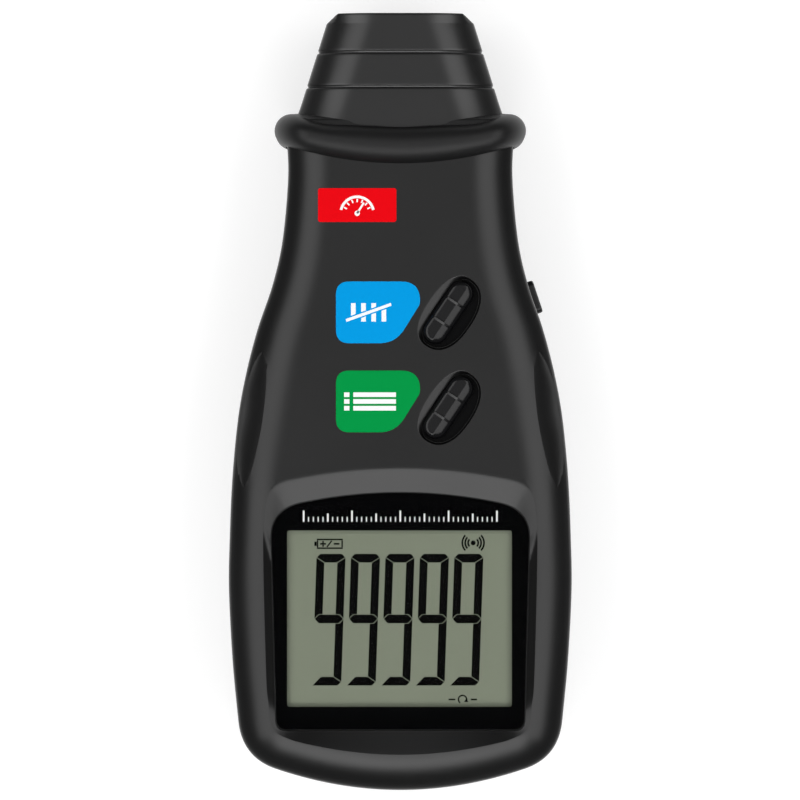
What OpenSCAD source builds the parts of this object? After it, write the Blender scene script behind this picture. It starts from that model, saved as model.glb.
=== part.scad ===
// Handheld laser tachometer lying on its back: +Z leaves the display face, +Y points along the beam.
// The origin is on the surface under the middle of the instrument.

/* [Case] */
// Length from the tail to the tip of the nose
total_l = 161; // [134:1:194]
// Greatest width of the case
body_w = 71; // [59:1:86]
// Height from the back face to the display face
body_t = 35; // [29:0.5:42]
// Wall of both case halves
wall = 2.2; // [1.8:0.1:2.7]
// Width of the rounded edge round the back
heel_w = 7; // [5.8:0.1:8.4]

/* [Nose and collar] */
// Length of the nose from the neck's end face to its tip
nose_l = 25.5; // [21:0.5:31]
// Width of the nose behind its front chamfer
tip_w = 30.6; // [29:0.2:36.8]
// Radius of the bead round the neck
bead_r = 3.55; // [3:0.05:4.3]

/* [Display] */
// Thickness of the display window
window_t = 2; // [1.6:0.1:2.4]
// Depth of the sloped recess round the window
recess_d = 1.6; // [1.3:0.1:2]

/* [Keys] */
// Length of the two front keys
key_l = 14.8; // [12.3:0.1:17.8]
// Width of the two front keys
key_w = 5.4; // [4.5:0.1:6.5]
// Tilt of the front keys from the width of the case
key_tilt = 56; // [45:1:68]
// How far the three keys travel when pressed
key_travel = 0.5; // [0.3:0.05:0.6]
// How far the side key stands out of the case
side_key_out = 1.4; // [1.1:0.1:1.7]

/* [Battery door] */
// Thickness of the battery door
door_t = 1.8; // [1.5:0.1:2.2]

/* [Optics] */
// Diameter of the laser module
laser_d = 6; // [5:0.1:7.2]
// Diameter of the lens that collects the returned light
lens_d = 13; // [10.8:0.1:13.4]

/* [Hidden] */
$fn = 48;

// Units that keep every detail in proportion: one millimetre of the drawn case along each axis
wu = body_w / 71;
lu = total_l / 161;
tu = body_t / 35;
su = min(wu, lu, tu);

// Clearances
gap = 0.2 * su;         // between parts put together by hand
fit = 0.05 * su;        // between parts that touch when they rest
slide_gap = 0.1 * su;   // battery door in its rails
over = 1 * su;          // how far a cutter passes a face

// Main places
tail_y = -total_l / 2;
tip_y = total_l / 2;
neck_y = tip_y - nose_l;
case_l = neck_y - tail_y;
split_z = 15 * tu;
neck_lift = 4 * tu;         // rise of the back at the neck
lift_l = 26 * lu;           // length of that rise
lift_flat = 5 * lu;         // flat stretch between the rise and the neck's end face
nose_z = (body_t + neck_lift) / 2;

// Outline of the case: share of its length from the neck, share of its half width, shoulder width
side_shares = [
    [0, 0.664, 5], [0.063, 0.6546, 5.2], [0.158, 0.6865, 5.6], [0.227, 0.7447, 6.5],
    [0.296, 0.8337, 7.6], [0.365, 0.9016, 8.8], [0.434, 0.9482, 9], [0.526, 0.981, 7],
    [0.618, 0.9959, 6], [0.694, 1, 6], [0.802, 0.9789, 6], [0.8935, 0.9456, 6],
];
// Control points of the rounded corner at the tail, and the middle of the tail
corner_shares = [[0.8935, 0.9456], [0.9335, 0.931], [0.9564, 0.85], [0.9672, 0.73]];
tail_shares = [[0.9672, 0.73], [0.989, 0.487], [1, 0.243], [1, 0]];
tail_shoulder = 6.2;
shoulder_h = 9 * tu;
heel_h = 8 * tu;
side_steps = 3;
corner_steps = 7;
tail_steps = 6;
round_steps = 6;
round_angles = [for (i = [0 : round_steps]) 90 * i / round_steps];

// Window, recess and display cell
window_w = 53.6 * wu;           // at its top corners
window_low_w = 51.2 * wu;       // at its bottom corners
window_l = 49 * lu;
window_up = 12.6 * lu;          // bottom edge above the tail
window_rise = 3.7 * lu;         // arch of the top edge
window_r = [6 * wu, 6 * lu];    // rounding of the top corners
window_low_r = [2.3 * wu, 2.3 * lu];
recess_w = 57.2 * wu;
recess_low_w = 54.2 * wu;
recess_above = 5.15 * lu;
recess_below = 5.5 * lu;
recess_rise = 3.8 * lu;
recess_low_rise = 4.6 * lu;
recess_r = [5.5 * wu, 5.5 * lu];
recess_low_r = [2.6 * wu, 2.6 * lu];
panel_steps = 6;
ledge_t = 1.2 * tu;             // ledge under the window
ledge_w = 0.9 * su;             // how far the ledge covers the cell's edge
slab_edge = 0.8 * su;           // thick face beyond the recess
cell_w = 49 * wu;
cell_l = 39 * lu;
cell_t = 2.8 * tu;
cell_up = 22.8 * lu;            // cell's middle above the window's bottom edge
frame_wall = 1.8 * su;
strip_w = 2 * lu;
strip_h = 2.6 * tu;
strip_in = 1 * su;

// Board and its parts
board_t = 1.6 * tu;
board_in = 4 * wu;              // board's edge inside the case wall
board_up = 12.4 * lu;           // board's end above the tail
board_down = 12 * lu;           // board's end below the neck's end face
notch = 0.6 * su;               // free space round the bosses
chip_w = 10 * su;
chip_t = 1.5 * su;
chip_legs = 8;
chip_leg_w = 0.4 * su;
chip_leg_l = 1 * su;
chip_x = -7 * wu;
chip_up = 26 * lu;              // chip above the window
crystal_r = 1.5 * su;
crystal_l = 8 * su;
crystal_x = -3 * wu;
capacitor_r = 2.4 * su;
capacitor_h = 5 * su;
capacitor_count = 3;
capacitor_pitch = 6 * lu;
capacitor_x = -17 * wu;
capacitor_up = 14 * lu;

// Keys and switches
key_x = 9.9 * wu;
key_pitch = 19.6 * lu;
key_up = 17.7 * lu;             // lower key above the window
key_out = 1 * tu;               // crest of a key above the face
key_crown_r = key_w / 2 + 0.5 * su;
key_flange_w = 0.8 * su;
key_flange_t = 1 * tu;
key_rib_w = 0.7 * su;
key_rib_h = 0.3 * su;
key_rib_at = key_l / 6;
stem_r = 1.9 * su;
dimple_l = key_l + 1.4 * su;
dimple_w = key_w * 2;
dimple_d = 1.5 * tu;
pad_edge = 0.6 * su;
pad_t = 1.5 * tu;
switch_w = 6 * su;
switch_h = 3.5 * su;
switch_leg_w = 0.7 * su;
switch_leg_t = 0.3 * su;
well_d = 2.2 * su;
plunger_r = 1.75 * su;
plunger_l = 2.5 * su;
plunger_out = 1.5 * su;
side_key_l = 7 * lu;
side_key_h = 8 * tu;
side_key_r = 1.2 * su;
side_key_down = 33.5 * lu;      // side key below the neck's end face
side_flange_w = 0.9 * su;
side_flange_t = 1.2 * su;
side_flange_gap = 0.4 * su;
side_stem_l = 2.1 * su;

// Finger hollows in the shoulders
scallop_l = 27 * lu;
scallop_r = 2.7 * su;
scallop_d = 1.3 * su;
scallop_tilt = 8.6;
scallop_y_share = 0.434;        // share of the case length from the neck
scallop_in_share = 0.34;        // share of the shoulder width from the side
scallop_steps = 8;

// Screw points
boss_r = 3 * su;
boss_merge = 0.5 * su;
boss_down = 14 * lu;
boss_tail = 10.5 * lu;
boss_low_share = 0.65;          // share of the half width
pilot_r = 1.25 * su;
pilot_l = 10 * tu;
rear_post_r = 4 * su;
seat_h = 5.5 * tu;             // seat of a case screw above the back
seat_r = 3 * su;
screw_hole_r = 1.6 * su;
screw_head_r = 2.6 * su;
screw_head_h = 1.9 * su;
screw_l = 17 * tu;
slot_w = 0.8 * su;
slot_d = 1 * su;
post_r = 2.5 * su;
post_pilot_r = 0.85 * su;
post_pilot_l = 6 * tu;
post_up = 8 * lu;               // lower board posts above the window
post_low_share = 0.62;          // share of the half width
post_down = 19 * lu;            // upper board posts below the neck's end face
post_high_share = 0.3;          // share of the half width
small_head_r = 1.7 * su;
small_head_h = 1.2 * su;
small_screw_l = 6.6 * su;

// Neck bore, nose and collar
bore_w = 41.6 * wu;
bore_t = 26 * tu;
bore_r = 6 * su;
bore_l = 16 * lu;
skirt_l = 7.5 * lu;
skirt_wall = 2 * su;
rib_l = 1.2 * su;
rib_h = 0.9 * su;
rib_back = 3 * lu;
nose_step = 1 * su;             // nose inside the neck's outline
nose_wall = 1.8 * su;
tip_t = 23 * tu;
tip_chamfer_l = 2.1 * lu;
tip_chamfer_in = 2.3 * su;      // each side
tip_corner = [5.5 * wu, 7.5 * tu];
groove_l = 0.8 * su;
groove_d = 0.45 * su;
groove_shares = [0.256, 0.564]; // share of the tapered length from the chamfer
filter_w = 25 * wu;
filter_h = 18 * tu;
filter_r = 4 * su;
filter_t = 1.5 * su;
filter_in = 1.2 * su;
filter_ledge_w = 0.4 * su;
filter_ledge_t = 1.1 * su;
nose_boss_x = 16.4 * wu;
nose_boss_r = 2.4 * su;
nose_boss_l = 9 * lu;
nose_pilot_r = 0.85 * su;
bead_sink = 1 * su;             // bead's centre inside the neck's outline
bead_ahead = 1.2 * lu;          // bead's centre ahead of the neck's end face, at the sides
bead_dip = 3 * lu;              // swing towards the tail on the front and the back
bead_angles = [for (i = [0 : 9]) 160 - 18 * i];
collar_gap = 0.15 * su;
flat_steps = 8;

// Labels on the face
label_t = 0.15 * su;
label_w = 17.6 * wu;
label_l = 13 * lu;
label_r = 1.8 * su;
label_cut = [5 * wu, 9.1 * lu];
label_x = -4.6 * wu;
label_over = 0.1 * lu;
label_pitch = 18.5 * lu;
badge_w = 16.2 * wu;
badge_l = 7 * lu;
badge_r = 1.2 * su;
badge_x = -8.9 * wu;
badge_down = 14.2 * lu;

// Optics
laser_l = 16 * lu;
laser_x = -8 * wu;
laser_wall = 0.7 * su;
laser_cap_t = 0.8 * su;
laser_aperture_r = 1 * su;
laser_lens_t = 1.4 * su;
diode_l = 3 * su;
lead_r = 0.35 * su;
lead_pitch = 1.8 * su;
lead_run = 3 * lu;
lead_bend = 1.5 * su;
lens_x = 4.5 * wu;
lens_edge_t = 1.6 * su;
lens_crown = 1.4 * su;
lens_rim = 0.4 * su;
lens_in = 0.4 * su;
lens_seat_w = 0.9 * su;
lens_seat_l = 1 * su;
tube_wall = 0.9 * su;
holder_w = 37 * wu;
holder_h = 18 * tu;
holder_t = 2 * su;
holder_r = 3 * su;
holder_front = 0.3 * su;
holder_web = 3 * su;
sensor_r = 2.7 * su;
sensor_l = 4 * su;
sensor_lens_r = 1.9 * su;
sensor_board_w = 27 * wu;
sensor_board_h = 15 * tu;
sensor_board_t = 1.2 * su;
link_pins = 5;
link_pitch = 2.54 * su;
link_pin_w = 0.64 * su;
link_l = 3 * su;
link_h = 2.5 * su;
link_x = -1 * wu;

// Battery and its bay
battery_l = 48.5 * lu;
battery_w = 26.5 * wu;
battery_t = 17.5 * tu;
battery_r = 2 * su;
battery_gap = 0.3 * su;
bay_play = 0.6 * su;
bay_wall = 1.5 * su;
terminal_h = 3 * su;
terminal_pitch = 12.7 * wu;
stud_r = 2.85 * su;
socket_r = 4.05 * su;
socket_bore_r = 2.75 * su;
snap_t = 3.2 * su;
snap_w = 25 * wu;
snap_h = 12 * tu;
contact_l = 2.4 * su;
contact_wall = 0.7 * su;
wire_r = 0.75 * su;
wire_x = 1.7 * su;
wire_bend = 2.4 * su;
wire_run = 5 * lu;
wire_hole_r = 3.4 * su;
wire_drop = 4.2 * tu;
door_w = 32.8 * wu;
door_over = 2 * lu;
rail_w = 1.1 * su;
rail_t = 0.8 * su;
rail_cover = 1.2 * su;
grip_w = 16 * wu;
grip_rib_w = 1 * su;
grip_pitch = 2 * su;
grip_ribs = 6;
grip_d = 0.5 * su;
grip_up = 12 * lu;

// Places that follow from the sizes above
inside_z = body_t - wall;
window_z = body_t - recess_d - window_t;
ledge_z = window_z - ledge_t;
cell_z = ledge_z - gap - cell_t;
board_top = cell_z - strip_h;
board_z = board_top - board_t;
window_low_y = tail_y + window_up;
window_top_y = window_low_y + window_l;
cell_y = window_low_y + cell_up;
memory_key_y = window_top_y + key_up;
total_key_y = memory_key_y + key_pitch;
key_places = [[key_x, total_key_y], [key_x, memory_key_y]];
flange_z = inside_z - pad_t - fit;
side_key_y = neck_y - side_key_down;
side_key_z = board_z - switch_w / 2 - switch_leg_w;
plunger_top = board_top + switch_h + plunger_out;
battery_z = door_t + slide_gap + battery_gap;
bay_ceiling = battery_z + battery_t + battery_gap;
bay_low_y = window_low_y - bay_wall - bay_play;
battery_low_y = bay_low_y + bay_wall + bay_play / 2;
battery_top_y = battery_low_y + battery_l;
battery_mid_z = battery_z + battery_t / 2;
snap_y = battery_top_y + terminal_h + gap;
bay_top_y = snap_y + snap_t + gap;
bay_w = battery_w + 2 * bay_play;
door_top_y = bay_top_y + door_over;
holder_y = neck_y - skirt_l - gap - holder_t;
filter_y = tip_y - filter_in - filter_t;
holder_end = filter_y - filter_ledge_t - holder_front;
sensor_board_y = holder_y - sensor_board_t;

// Curves
function smooth(u) = let (v = max(0, min(1, u))) v * v * (3 - 2 * v);
function back_z(y) = neck_lift * smooth((y - (neck_y - lift_flat - lift_l)) / lift_l);
function spline(a, b, c, d, u) =
    (2 * b + (c - a) * u + (2 * a - 5 * b + 4 * c - d) * u * u + (3 * b - a - 3 * c + d) * u * u * u) / 2;
function bend(a, b, c, u) = a * (1 - u) * (1 - u) + b * 2 * u * (1 - u) + c * u * u;
function curve(p, u) =
    p[0] * pow(1 - u, 3) + p[1] * 3 * u * pow(1 - u, 2) + p[2] * 3 * u * u * (1 - u) + p[3] * pow(u, 3);

// Right half of the outline from the neck round to the middle of the tail: x, y, shoulder width
last_station = len(side_shares) - 1;
function station(i) = side_shares[max(0, min(last_station, i))];
function to_case(along, across, shoulder) =
    [across * body_w / 2, neck_y - along * case_l, shoulder * wu];
side_points = [
    for (i = [0 : last_station - 1], j = [0 : side_steps - 1])
        let (p = spline(station(i - 1), station(i), station(i + 1), station(i + 2), j / side_steps))
        to_case(p[0], p[1], p[2])
];
corner_points = [
    for (i = [0 : corner_steps - 1])
        let (p = curve(corner_shares, i / corner_steps))
        to_case(p[0], p[1], side_shares[last_station][2])
];
tail_points = [
    for (i = [0 : tail_steps])
        let (p = curve(tail_shares, i / tail_steps))
        to_case(p[0], p[1], tail_shoulder)
];
half_points = concat(side_points, corner_points, tail_points);
half_last = len(half_points) - 1;
function tangent(i) =
    let (a = half_points[max(0, i - 1)], b = half_points[min(half_last, i + 1)], d = [b.x - a.x, b.y - a.y])
    d / norm(d);
function inward(i) = i == 0 ? [-1, 0] : i == half_last ? [0, 1] : [tangent(i).y, -tangent(i).x];
function outline(inset) = [
    for (i = [0 : half_last])
        [half_points[i].x + inward(i).x * inset, half_points[i].y + inward(i).y * inset]
];
side_table = [for (i = [len(side_points) - 1 : -1 : 0]) [side_points[i].y, side_points[i].x]];
shoulder_table = [for (i = [len(side_points) - 1 : -1 : 0]) [side_points[i].y, side_points[i][2]]];
function side_x(y) = lookup(y, side_table);
side_slope = atan((side_x(side_key_y - side_key_l / 2) - side_x(side_key_y + side_key_l / 2)) / side_key_l);

// Faces between rings that hold the same number of points
function wall_faces(rings, m, closed) = [
    for (k = [0 : rings - (closed ? 1 : 2)], i = [0 : m - 1])
        let (a = k * m + i, b = k * m + (i + 1) % m, c = ((k + 1) % rings) * m)
        each [[a, b, c + (i + 1) % m], [a, c + (i + 1) % m, c + i]]
];

// Whole ring from its right half; the points that lie on the centre line come once
function on_axis(p) = p.x == 0;
function twin(p) = len(p) == 2 ? [-p.x, p.y] : [-p.x, p.y, p.z];
function whole(half) =
    let (n = len(half), low = on_axis(half[0]) ? 1 : 0, high = on_axis(half[n - 1]) ? n - 2 : n - 1)
    concat(half, [for (i = [high : -1 : low]) twin(half[i])]);

// Solid between layers that are given by their right halves, with caps built in rows across
module mirrored_loft(layers) {
    n = len(layers[0]);
    b = on_axis(layers[0][n - 1]) ? 1 : 0;
    m = len(whole(layers[0]));
    top = (len(layers) - 1) * m;
    rows = [
        for (i = [0 : n - 2])
            let (p = (2 * n - 1 - b - i) % m, q = (2 * n - 2 - b - i) % m)
            concat([i, i + 1], q == i + 1 ? [] : [q], p == i ? [] : [p])
    ];
    polyhedron(
        [for (layer = layers) each whole(layer)],
        concat(
            [for (r = rows) [for (i = [len(r) - 1 : -1 : 0]) r[i]]],
            wall_faces(len(layers), m, false),
            [for (r = rows) [for (i = r) i + top]]
        )
    );
}

// Solid between convex rings that follow each other along the beam
module ring_loft(rings) {
    m = len(rings[0]);
    top = (len(rings) - 1) * m;
    polyhedron(
        [for (ring = rings) each ring],
        concat(
            [[for (i = [m - 1 : -1 : 0]) i]],
            wall_faces(len(rings), m, false),
            [[for (i = [0 : m - 1]) i + top]]
        )
    );
}

// Upper and lower half of the case, inset all round, run on past the joint by reach
module front_body(inset, reach) {
    function layer(angle) = [
        for (i = [0 : half_last])
            let (p = half_points[i], n = inward(i), d = p[2] * (1 - cos(angle)) + inset)
            [p.x + n.x * d, p.y + n.y * d, body_t - inset - shoulder_h * (1 - sin(angle))]
    ];
    foot = [for (p = outline(inset)) [p.x, p.y, split_z - reach]];
    mirrored_loft(concat([foot], [for (a = round_angles) layer(a)]));
}

module back_body(inset, reach) {
    function layer(angle) = [
        for (i = [0 : half_last])
            let (p = half_points[i], n = inward(i), d = heel_w * (1 - cos(angle)) + inset)
            [p.x + n.x * d, p.y + n.y * d, back_z(p.y) + inset + heel_h * (1 - sin(angle))]
    ];
    rim = [for (p = outline(inset)) [p.x, p.y, split_z + reach]];
    mirrored_loft(concat([for (i = [round_steps : -1 : 0]) layer(round_angles[i])], [rim]));
}

// Everything of its children that lies behind the neck's bore
module behind_bore() {
    difference() {
        children();
        translate([-body_w, neck_y - bore_l, -body_t]) cube([2 * body_w, 2 * bore_l, 3 * body_t]);
    }
}

// Section of the neck and the nose: half width, bottom, top, lower corners, upper corners
neck_form = [side_x(neck_y), neck_lift, body_t, [heel_w, heel_h], [side_points[0][2], shoulder_h]];
base_form = [
    neck_form[0] - nose_step, neck_form[1] + nose_step, neck_form[2] - nose_step,
    neck_form[3] - [nose_step, nose_step], neck_form[4] - [nose_step, nose_step] / 2
];
tip_form = [tip_w / 2, nose_z - tip_t / 2, nose_z + tip_t / 2, tip_corner, tip_corner];
tip_end_form = [tip_form[0] - tip_chamfer_in, tip_form[1], tip_form[2], tip_form[3], tip_form[4]];
function quarter(x, z, r, start, grow) = [
    for (a = round_angles)
        let (c = cos(start + a), s = sin(start + a), n = [c / r.x, s / r.y])
        [x + r.x * c + grow * n.x / norm(n), z + r.y * s + grow * n.y / norm(n)]
];
function run(p, q, n) = [for (i = [1 : n - 1]) p + (q - p) * i / n];
function section(f, grow) =
    let (
        a = quarter(f[0] - f[4].x, f[2] - f[4].y, f[4], 0, grow),
        b = quarter(f[4].x - f[0], f[2] - f[4].y, f[4], 90, grow),
        c = quarter(f[3].x - f[0], f[1] + f[3].y, f[3], 180, grow),
        d = quarter(f[0] - f[3].x, f[1] + f[3].y, f[3], 270, grow)
    )
    concat(a, run(a[round_steps], b[0], flat_steps), b, c, run(c[round_steps], d[0], flat_steps), d);
taper_end = tip_y - tip_chamfer_l;
function nose_form(y) =
    let (u = (y - neck_y) / (taper_end - neck_y))
    [for (i = [0 : 4]) base_form[i] * (1 - u) + tip_form[i] * u];
function nose_ring(y, grow) = [for (p = section(nose_form(y), grow)) [p.x, y, p.y]];

// Flat shapes
module rounded(w, h, r) {
    square([w - 2 * r, h], center = true);
    square([w, h - 2 * r], center = true);
    for (x = [-1, 1], y = [-1, 1])
        translate([x * (w / 2 - r), y * (h / 2 - r)]) circle(r);
}

module slot(l, w) {
    square([l - w, w], center = true);
    for (x = [-1, 1])
        translate([x * (l - w) / 2, 0]) circle(w / 2);
}

// Right half of an arched panel, from the middle of its top edge to the middle of its bottom edge
function arch(y, rise, half, x) = [x, y - rise * pow(x / half, 2)];
function panel_half(top_w, low_w, top_y, rise, r, low_y, low_rise, low_r, grow) =
    let (
        t = top_w / 2 + grow,
        w = low_w / 2 + grow,
        top = top_y + grow,
        low = low_y - grow,
        corner = arch(top, rise, t, t),
        low_corner = arch(low, -low_rise, w, w),
        side = (low_corner - corner) / norm(low_corner - corner),
        start = arch(top, rise, t, t - r.x),
        finish = arch(low, -low_rise, w, w - low_r.x)
    )
    concat(
        [for (i = [0 : panel_steps - 1]) arch(top, rise, t, start.x * i / panel_steps)],
        [for (i = [0 : panel_steps]) bend(start, corner, corner + side * r.y, i / panel_steps)],
        [
            for (i = [0 : panel_steps])
                bend(low_corner - side * low_r.y, low_corner, finish, i / panel_steps)
        ],
        [for (i = [panel_steps - 1 : -1 : 0]) arch(low, -low_rise, w, finish.x * i / panel_steps)]
    );
function window_half(grow) = panel_half(
    window_w, window_low_w, window_top_y, window_rise, window_r, window_low_y, 0, window_low_r, grow);
function recess_half(grow) = panel_half(
    recess_w, recess_low_w, window_top_y + recess_above, recess_rise, recess_r,
    window_low_y - recess_below, recess_low_rise, recess_low_r, grow);

module panel(half) {
    polygon(whole(half));
}

// Placing
module along_y(y, l) {
    translate([0, y + l, 0]) rotate([90, 0, 0]) linear_extrude(l) children();
}

module rod_y(x, y, z, r, l) {
    translate([x, y + l, z]) rotate([90, 0, 0]) cylinder(r = r, h = l);
}

module along_x(x, l) {
    translate([x, 0, 0]) rotate([90, 0, 90]) linear_extrude(l) children();
}

module at_key(i) {
    translate([key_places[i].x, key_places[i].y, 0]) rotate([0, 0, key_tilt]) children();
}

// Local +X leaves the case through the side key
module at_side_key() {
    translate([side_x(side_key_y), side_key_y, side_key_z]) rotate([0, 0, side_slope]) children();
}

function both(x, y) = [[x, y], [-x, y]];
boss_places = concat(
    both(side_x(neck_y - boss_down) - wall - boss_r + boss_merge, neck_y - boss_down),
    both(boss_low_share * body_w / 2, tail_y + boss_tail)
);
function seat_z(p) = back_z(p.y) + seat_h;
post_places = concat(
    both(post_low_share * body_w / 2, window_top_y + post_up),
    both(post_high_share * body_w / 2, neck_y - post_down)
);

// Case
module bore_section(grow) {
    rounded(bore_w + 2 * grow, bore_t + 2 * grow, bore_r + grow);
}

module filter_section(grow) {
    rounded(filter_w + 2 * grow, filter_h + 2 * grow, filter_r + grow);
}

module neck_bore() {
    translate([0, 0, nose_z]) {
        along_y(neck_y - bore_l - fit, bore_l + over) bore_section(0);
        along_y(neck_y - skirt_l + rib_back - gap / 2, rib_l + gap) bore_section(rib_h);
    }
}

module recess() {
    inner = window_half(gap);
    outer = recess_half(0);
    ring_loft([
        whole([for (p = inner) [p.x, p.y, body_t - recess_d]]),
        whole([for (p = outer) [p.x, p.y, body_t]]),
        whole([for (p = outer) [p.x, p.y, body_t + over]])
    ]);
}

// Long hollow with round ends, as deep as dimple_d below the face
module dimple() {
    r = (dimple_w * dimple_w / 4 + dimple_d * dimple_d) / (2 * dimple_d);
    run_l = dimple_l - dimple_w;
    translate([0, 0, body_t - dimple_d + r]) {
        rotate([0, 90, 0]) cylinder(r = r, h = run_l, center = true);
        for (x = [-1, 1])
            translate([x * run_l / 2, 0, 0]) sphere(r);
    }
}

// Finger hollow: a spindle laid on the shoulder and sunk into it
scallop_y = neck_y - scallop_y_share * case_l;
scallop_shoulder = lookup(scallop_y, shoulder_table);
scallop_angle = acos(1 - scallop_in_share);
scallop_slope = [shoulder_h * cos(scallop_angle), scallop_shoulder * sin(scallop_angle)];
scallop_out = scallop_slope / norm(scallop_slope) * (scallop_r - scallop_d);
scallop_x = side_x(scallop_y) - scallop_in_share * scallop_shoulder + scallop_out.x;
scallop_z = body_t - shoulder_h * (1 - sin(scallop_angle)) + scallop_out.y;

module scallop() {
    profile = [
        for (i = [0 : scallop_steps])
            let (a = 180 * i / scallop_steps)
            [scallop_r * sin(a), -scallop_l / 2 * cos(a)]
    ];
    translate([scallop_x, scallop_y, scallop_z])
        rotate([90, 0, scallop_tilt]) rotate_extrude() polygon(profile);
}

module front_fill() {
    translate([0, 0, ledge_z]) linear_extrude(body_t) panel(recess_half(slab_edge));
    for (i = [0, 1])
        at_key(i) translate([0, 0, inside_z - pad_t])
            linear_extrude(body_t) slot(dimple_l + 2 * pad_edge, dimple_w + 2 * pad_edge);
    for (p = boss_places)
        translate([p.x, p.y, -over]) cylinder(r = boss_r, h = 2 * body_t);
    for (p = post_places)
        translate([p.x, p.y, board_top]) cylinder(r = post_r, h = body_t);
}

module front_case() {
    color("#2e2e30") difference() {
        front_body(0, 0);
        difference() {
            behind_bore() front_body(wall, over);
            front_fill();
        }
        neck_bore();
        recess();
        translate([0, 0, window_z]) linear_extrude(body_t) panel(window_half(gap));
        translate([0, cell_y, ledge_z - over]) linear_extrude(ledge_t + 2 * over)
            square([cell_w - 2 * ledge_w, cell_l - 2 * ledge_w], center = true);
        for (i = [0, 1])
            at_key(i) {
                dimple();
                translate([0, 0, inside_z - pad_t - over])
                    linear_extrude(wall + pad_t + 2 * over) slot(key_l + 2 * gap, key_w + 2 * gap);
            }
        at_side_key() along_x(-2 * wall, 4 * wall)
            rounded(side_key_l + 2 * gap, side_key_h + 2 * gap, side_key_r);
        scallop();
        mirror([1, 0, 0]) scallop();
        for (p = boss_places)
            translate([p.x, p.y, split_z - over]) cylinder(r = pilot_r, h = pilot_l + over);
        for (p = post_places)
            translate([p.x, p.y, board_top - over]) cylinder(r = post_pilot_r, h = post_pilot_l + over);
    }
}

module block(w, y, top, z, h) {
    translate([-w / 2, y, z]) cube([w, top - y, h]);
}

// Space that the battery door takes in the back, from the tail to its far edge
module door_space(play) {
    block(door_w + 2 * play, tail_y - over, door_top_y + play, -over, over + door_t + play);
    block(door_w + 2 * rail_w + 2 * play, tail_y - over, door_top_y + play,
        door_t - rail_t - play, rail_t + 2 * play);
}

module rear_fill() {
    for (p = boss_places)
        translate([p.x, p.y, -over]) cylinder(r = rear_post_r, h = 2 * body_t);
    block(door_w + 2 * rail_w + 2 * rail_cover, tail_y - over, door_top_y + rail_cover,
        -over, over + door_t + rail_cover);
    block(bay_w + 2 * bay_wall, bay_low_y, bay_top_y + bay_wall, -over, over + bay_ceiling + bay_wall);
}

module rear_case() {
    color("#2a2a2c") difference() {
        union() {
            difference() {
                back_body(0, 0);
                difference() {
                    behind_bore() back_body(wall, over);
                    rear_fill();
                }
            }
            block(bay_w + 2 * bay_wall, bay_low_y, bay_top_y + bay_wall,
                split_z, bay_ceiling + bay_wall - split_z);
        }
        neck_bore();
        door_space(slide_gap);
        block(bay_w, bay_low_y + bay_wall, bay_top_y, -over, over + bay_ceiling);
        rod_y(0, bay_top_y - over, bay_ceiling - wire_drop, wire_hole_r, bay_wall + 2 * over);
        for (p = boss_places)
            translate([p.x, p.y, 0]) {
                translate([0, 0, -over]) cylinder(r = seat_r, h = seat_z(p) + over);
                cylinder(r = screw_hole_r, h = body_t);
            }
    }
}

module battery_door() {
    color("#2a2a2c") difference() {
        intersection() {
            back_body(0, 0);
            door_space(0);
        }
        for (i = [0 : grip_ribs - 1])
            translate([-grip_w / 2, tail_y + grip_up + i * grip_pitch, -over])
                cube([grip_w, grip_rib_w, over + grip_d]);
    }
}

module screw(head_r, head_h, shank_r, l) {
    difference() {
        union() {
            translate([0, 0, -head_h]) cylinder(r = head_r, h = head_h);
            cylinder(r = shank_r, h = l);
        }
        for (a = [0, 90])
            rotate([0, 0, a]) translate([0, 0, -head_h])
                cube([head_r, slot_w, 2 * slot_d], center = true);
    }
}

module case_screws() {
    color("#9a9a9c")
        for (p = boss_places)
            translate([p.x, p.y, seat_z(p)]) screw(screw_head_r, screw_head_h, pilot_r - fit, screw_l);
}

// Nose
module nose_cone() {
    taper_l = taper_end - neck_y;
    grooves = [for (i = [len(groove_shares) - 1 : -1 : 0]) taper_end - groove_shares[i] * taper_l];
    hollow_y = neck_y + nose_wall;
    hollow_end = filter_y - filter_ledge_t - nose_wall;
    color("#3a3a3c") difference() {
        union() {
            ring_loft(concat(
                [nose_ring(neck_y, 0)],
                [
                    for (y = grooves)
                        each [
                            nose_ring(y - groove_l / 2, 0),
                            nose_ring(y, -groove_d),
                            nose_ring(y + groove_l / 2, 0)
                        ]
                ],
                [
                    nose_ring(taper_end, 0),
                    [for (p = section(tip_end_form, 0)) [p.x, tip_y, p.y]]
                ]
            ));
            translate([0, 0, nose_z]) {
                along_y(neck_y - skirt_l, skirt_l + over) bore_section(-gap);
                along_y(neck_y - skirt_l + rib_back, rib_l) bore_section(rib_h - gap);
            }
        }
        difference() {
            union() {
                ring_loft([nose_ring(hollow_y, -nose_wall), nose_ring(hollow_end, -nose_wall)]);
                translate([0, 0, nose_z])
                    along_y(neck_y - skirt_l - over, skirt_l + nose_wall + 2 * over)
                        bore_section(-gap - skirt_wall);
            }
            for (s = [-1, 1])
                rod_y(s * nose_boss_x, neck_y - skirt_l, nose_z, nose_boss_r, nose_boss_l);
        }
        for (s = [-1, 1])
            rod_y(s * nose_boss_x, neck_y - skirt_l - over, nose_z, nose_pilot_r, nose_boss_l);
        translate([0, 0, nose_z]) {
            along_y(hollow_end - over, tip_y - hollow_end + 2 * over) filter_section(-filter_ledge_w);
            along_y(filter_y, tip_y - filter_y + over) filter_section(fit);
        }
    }
}

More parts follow.
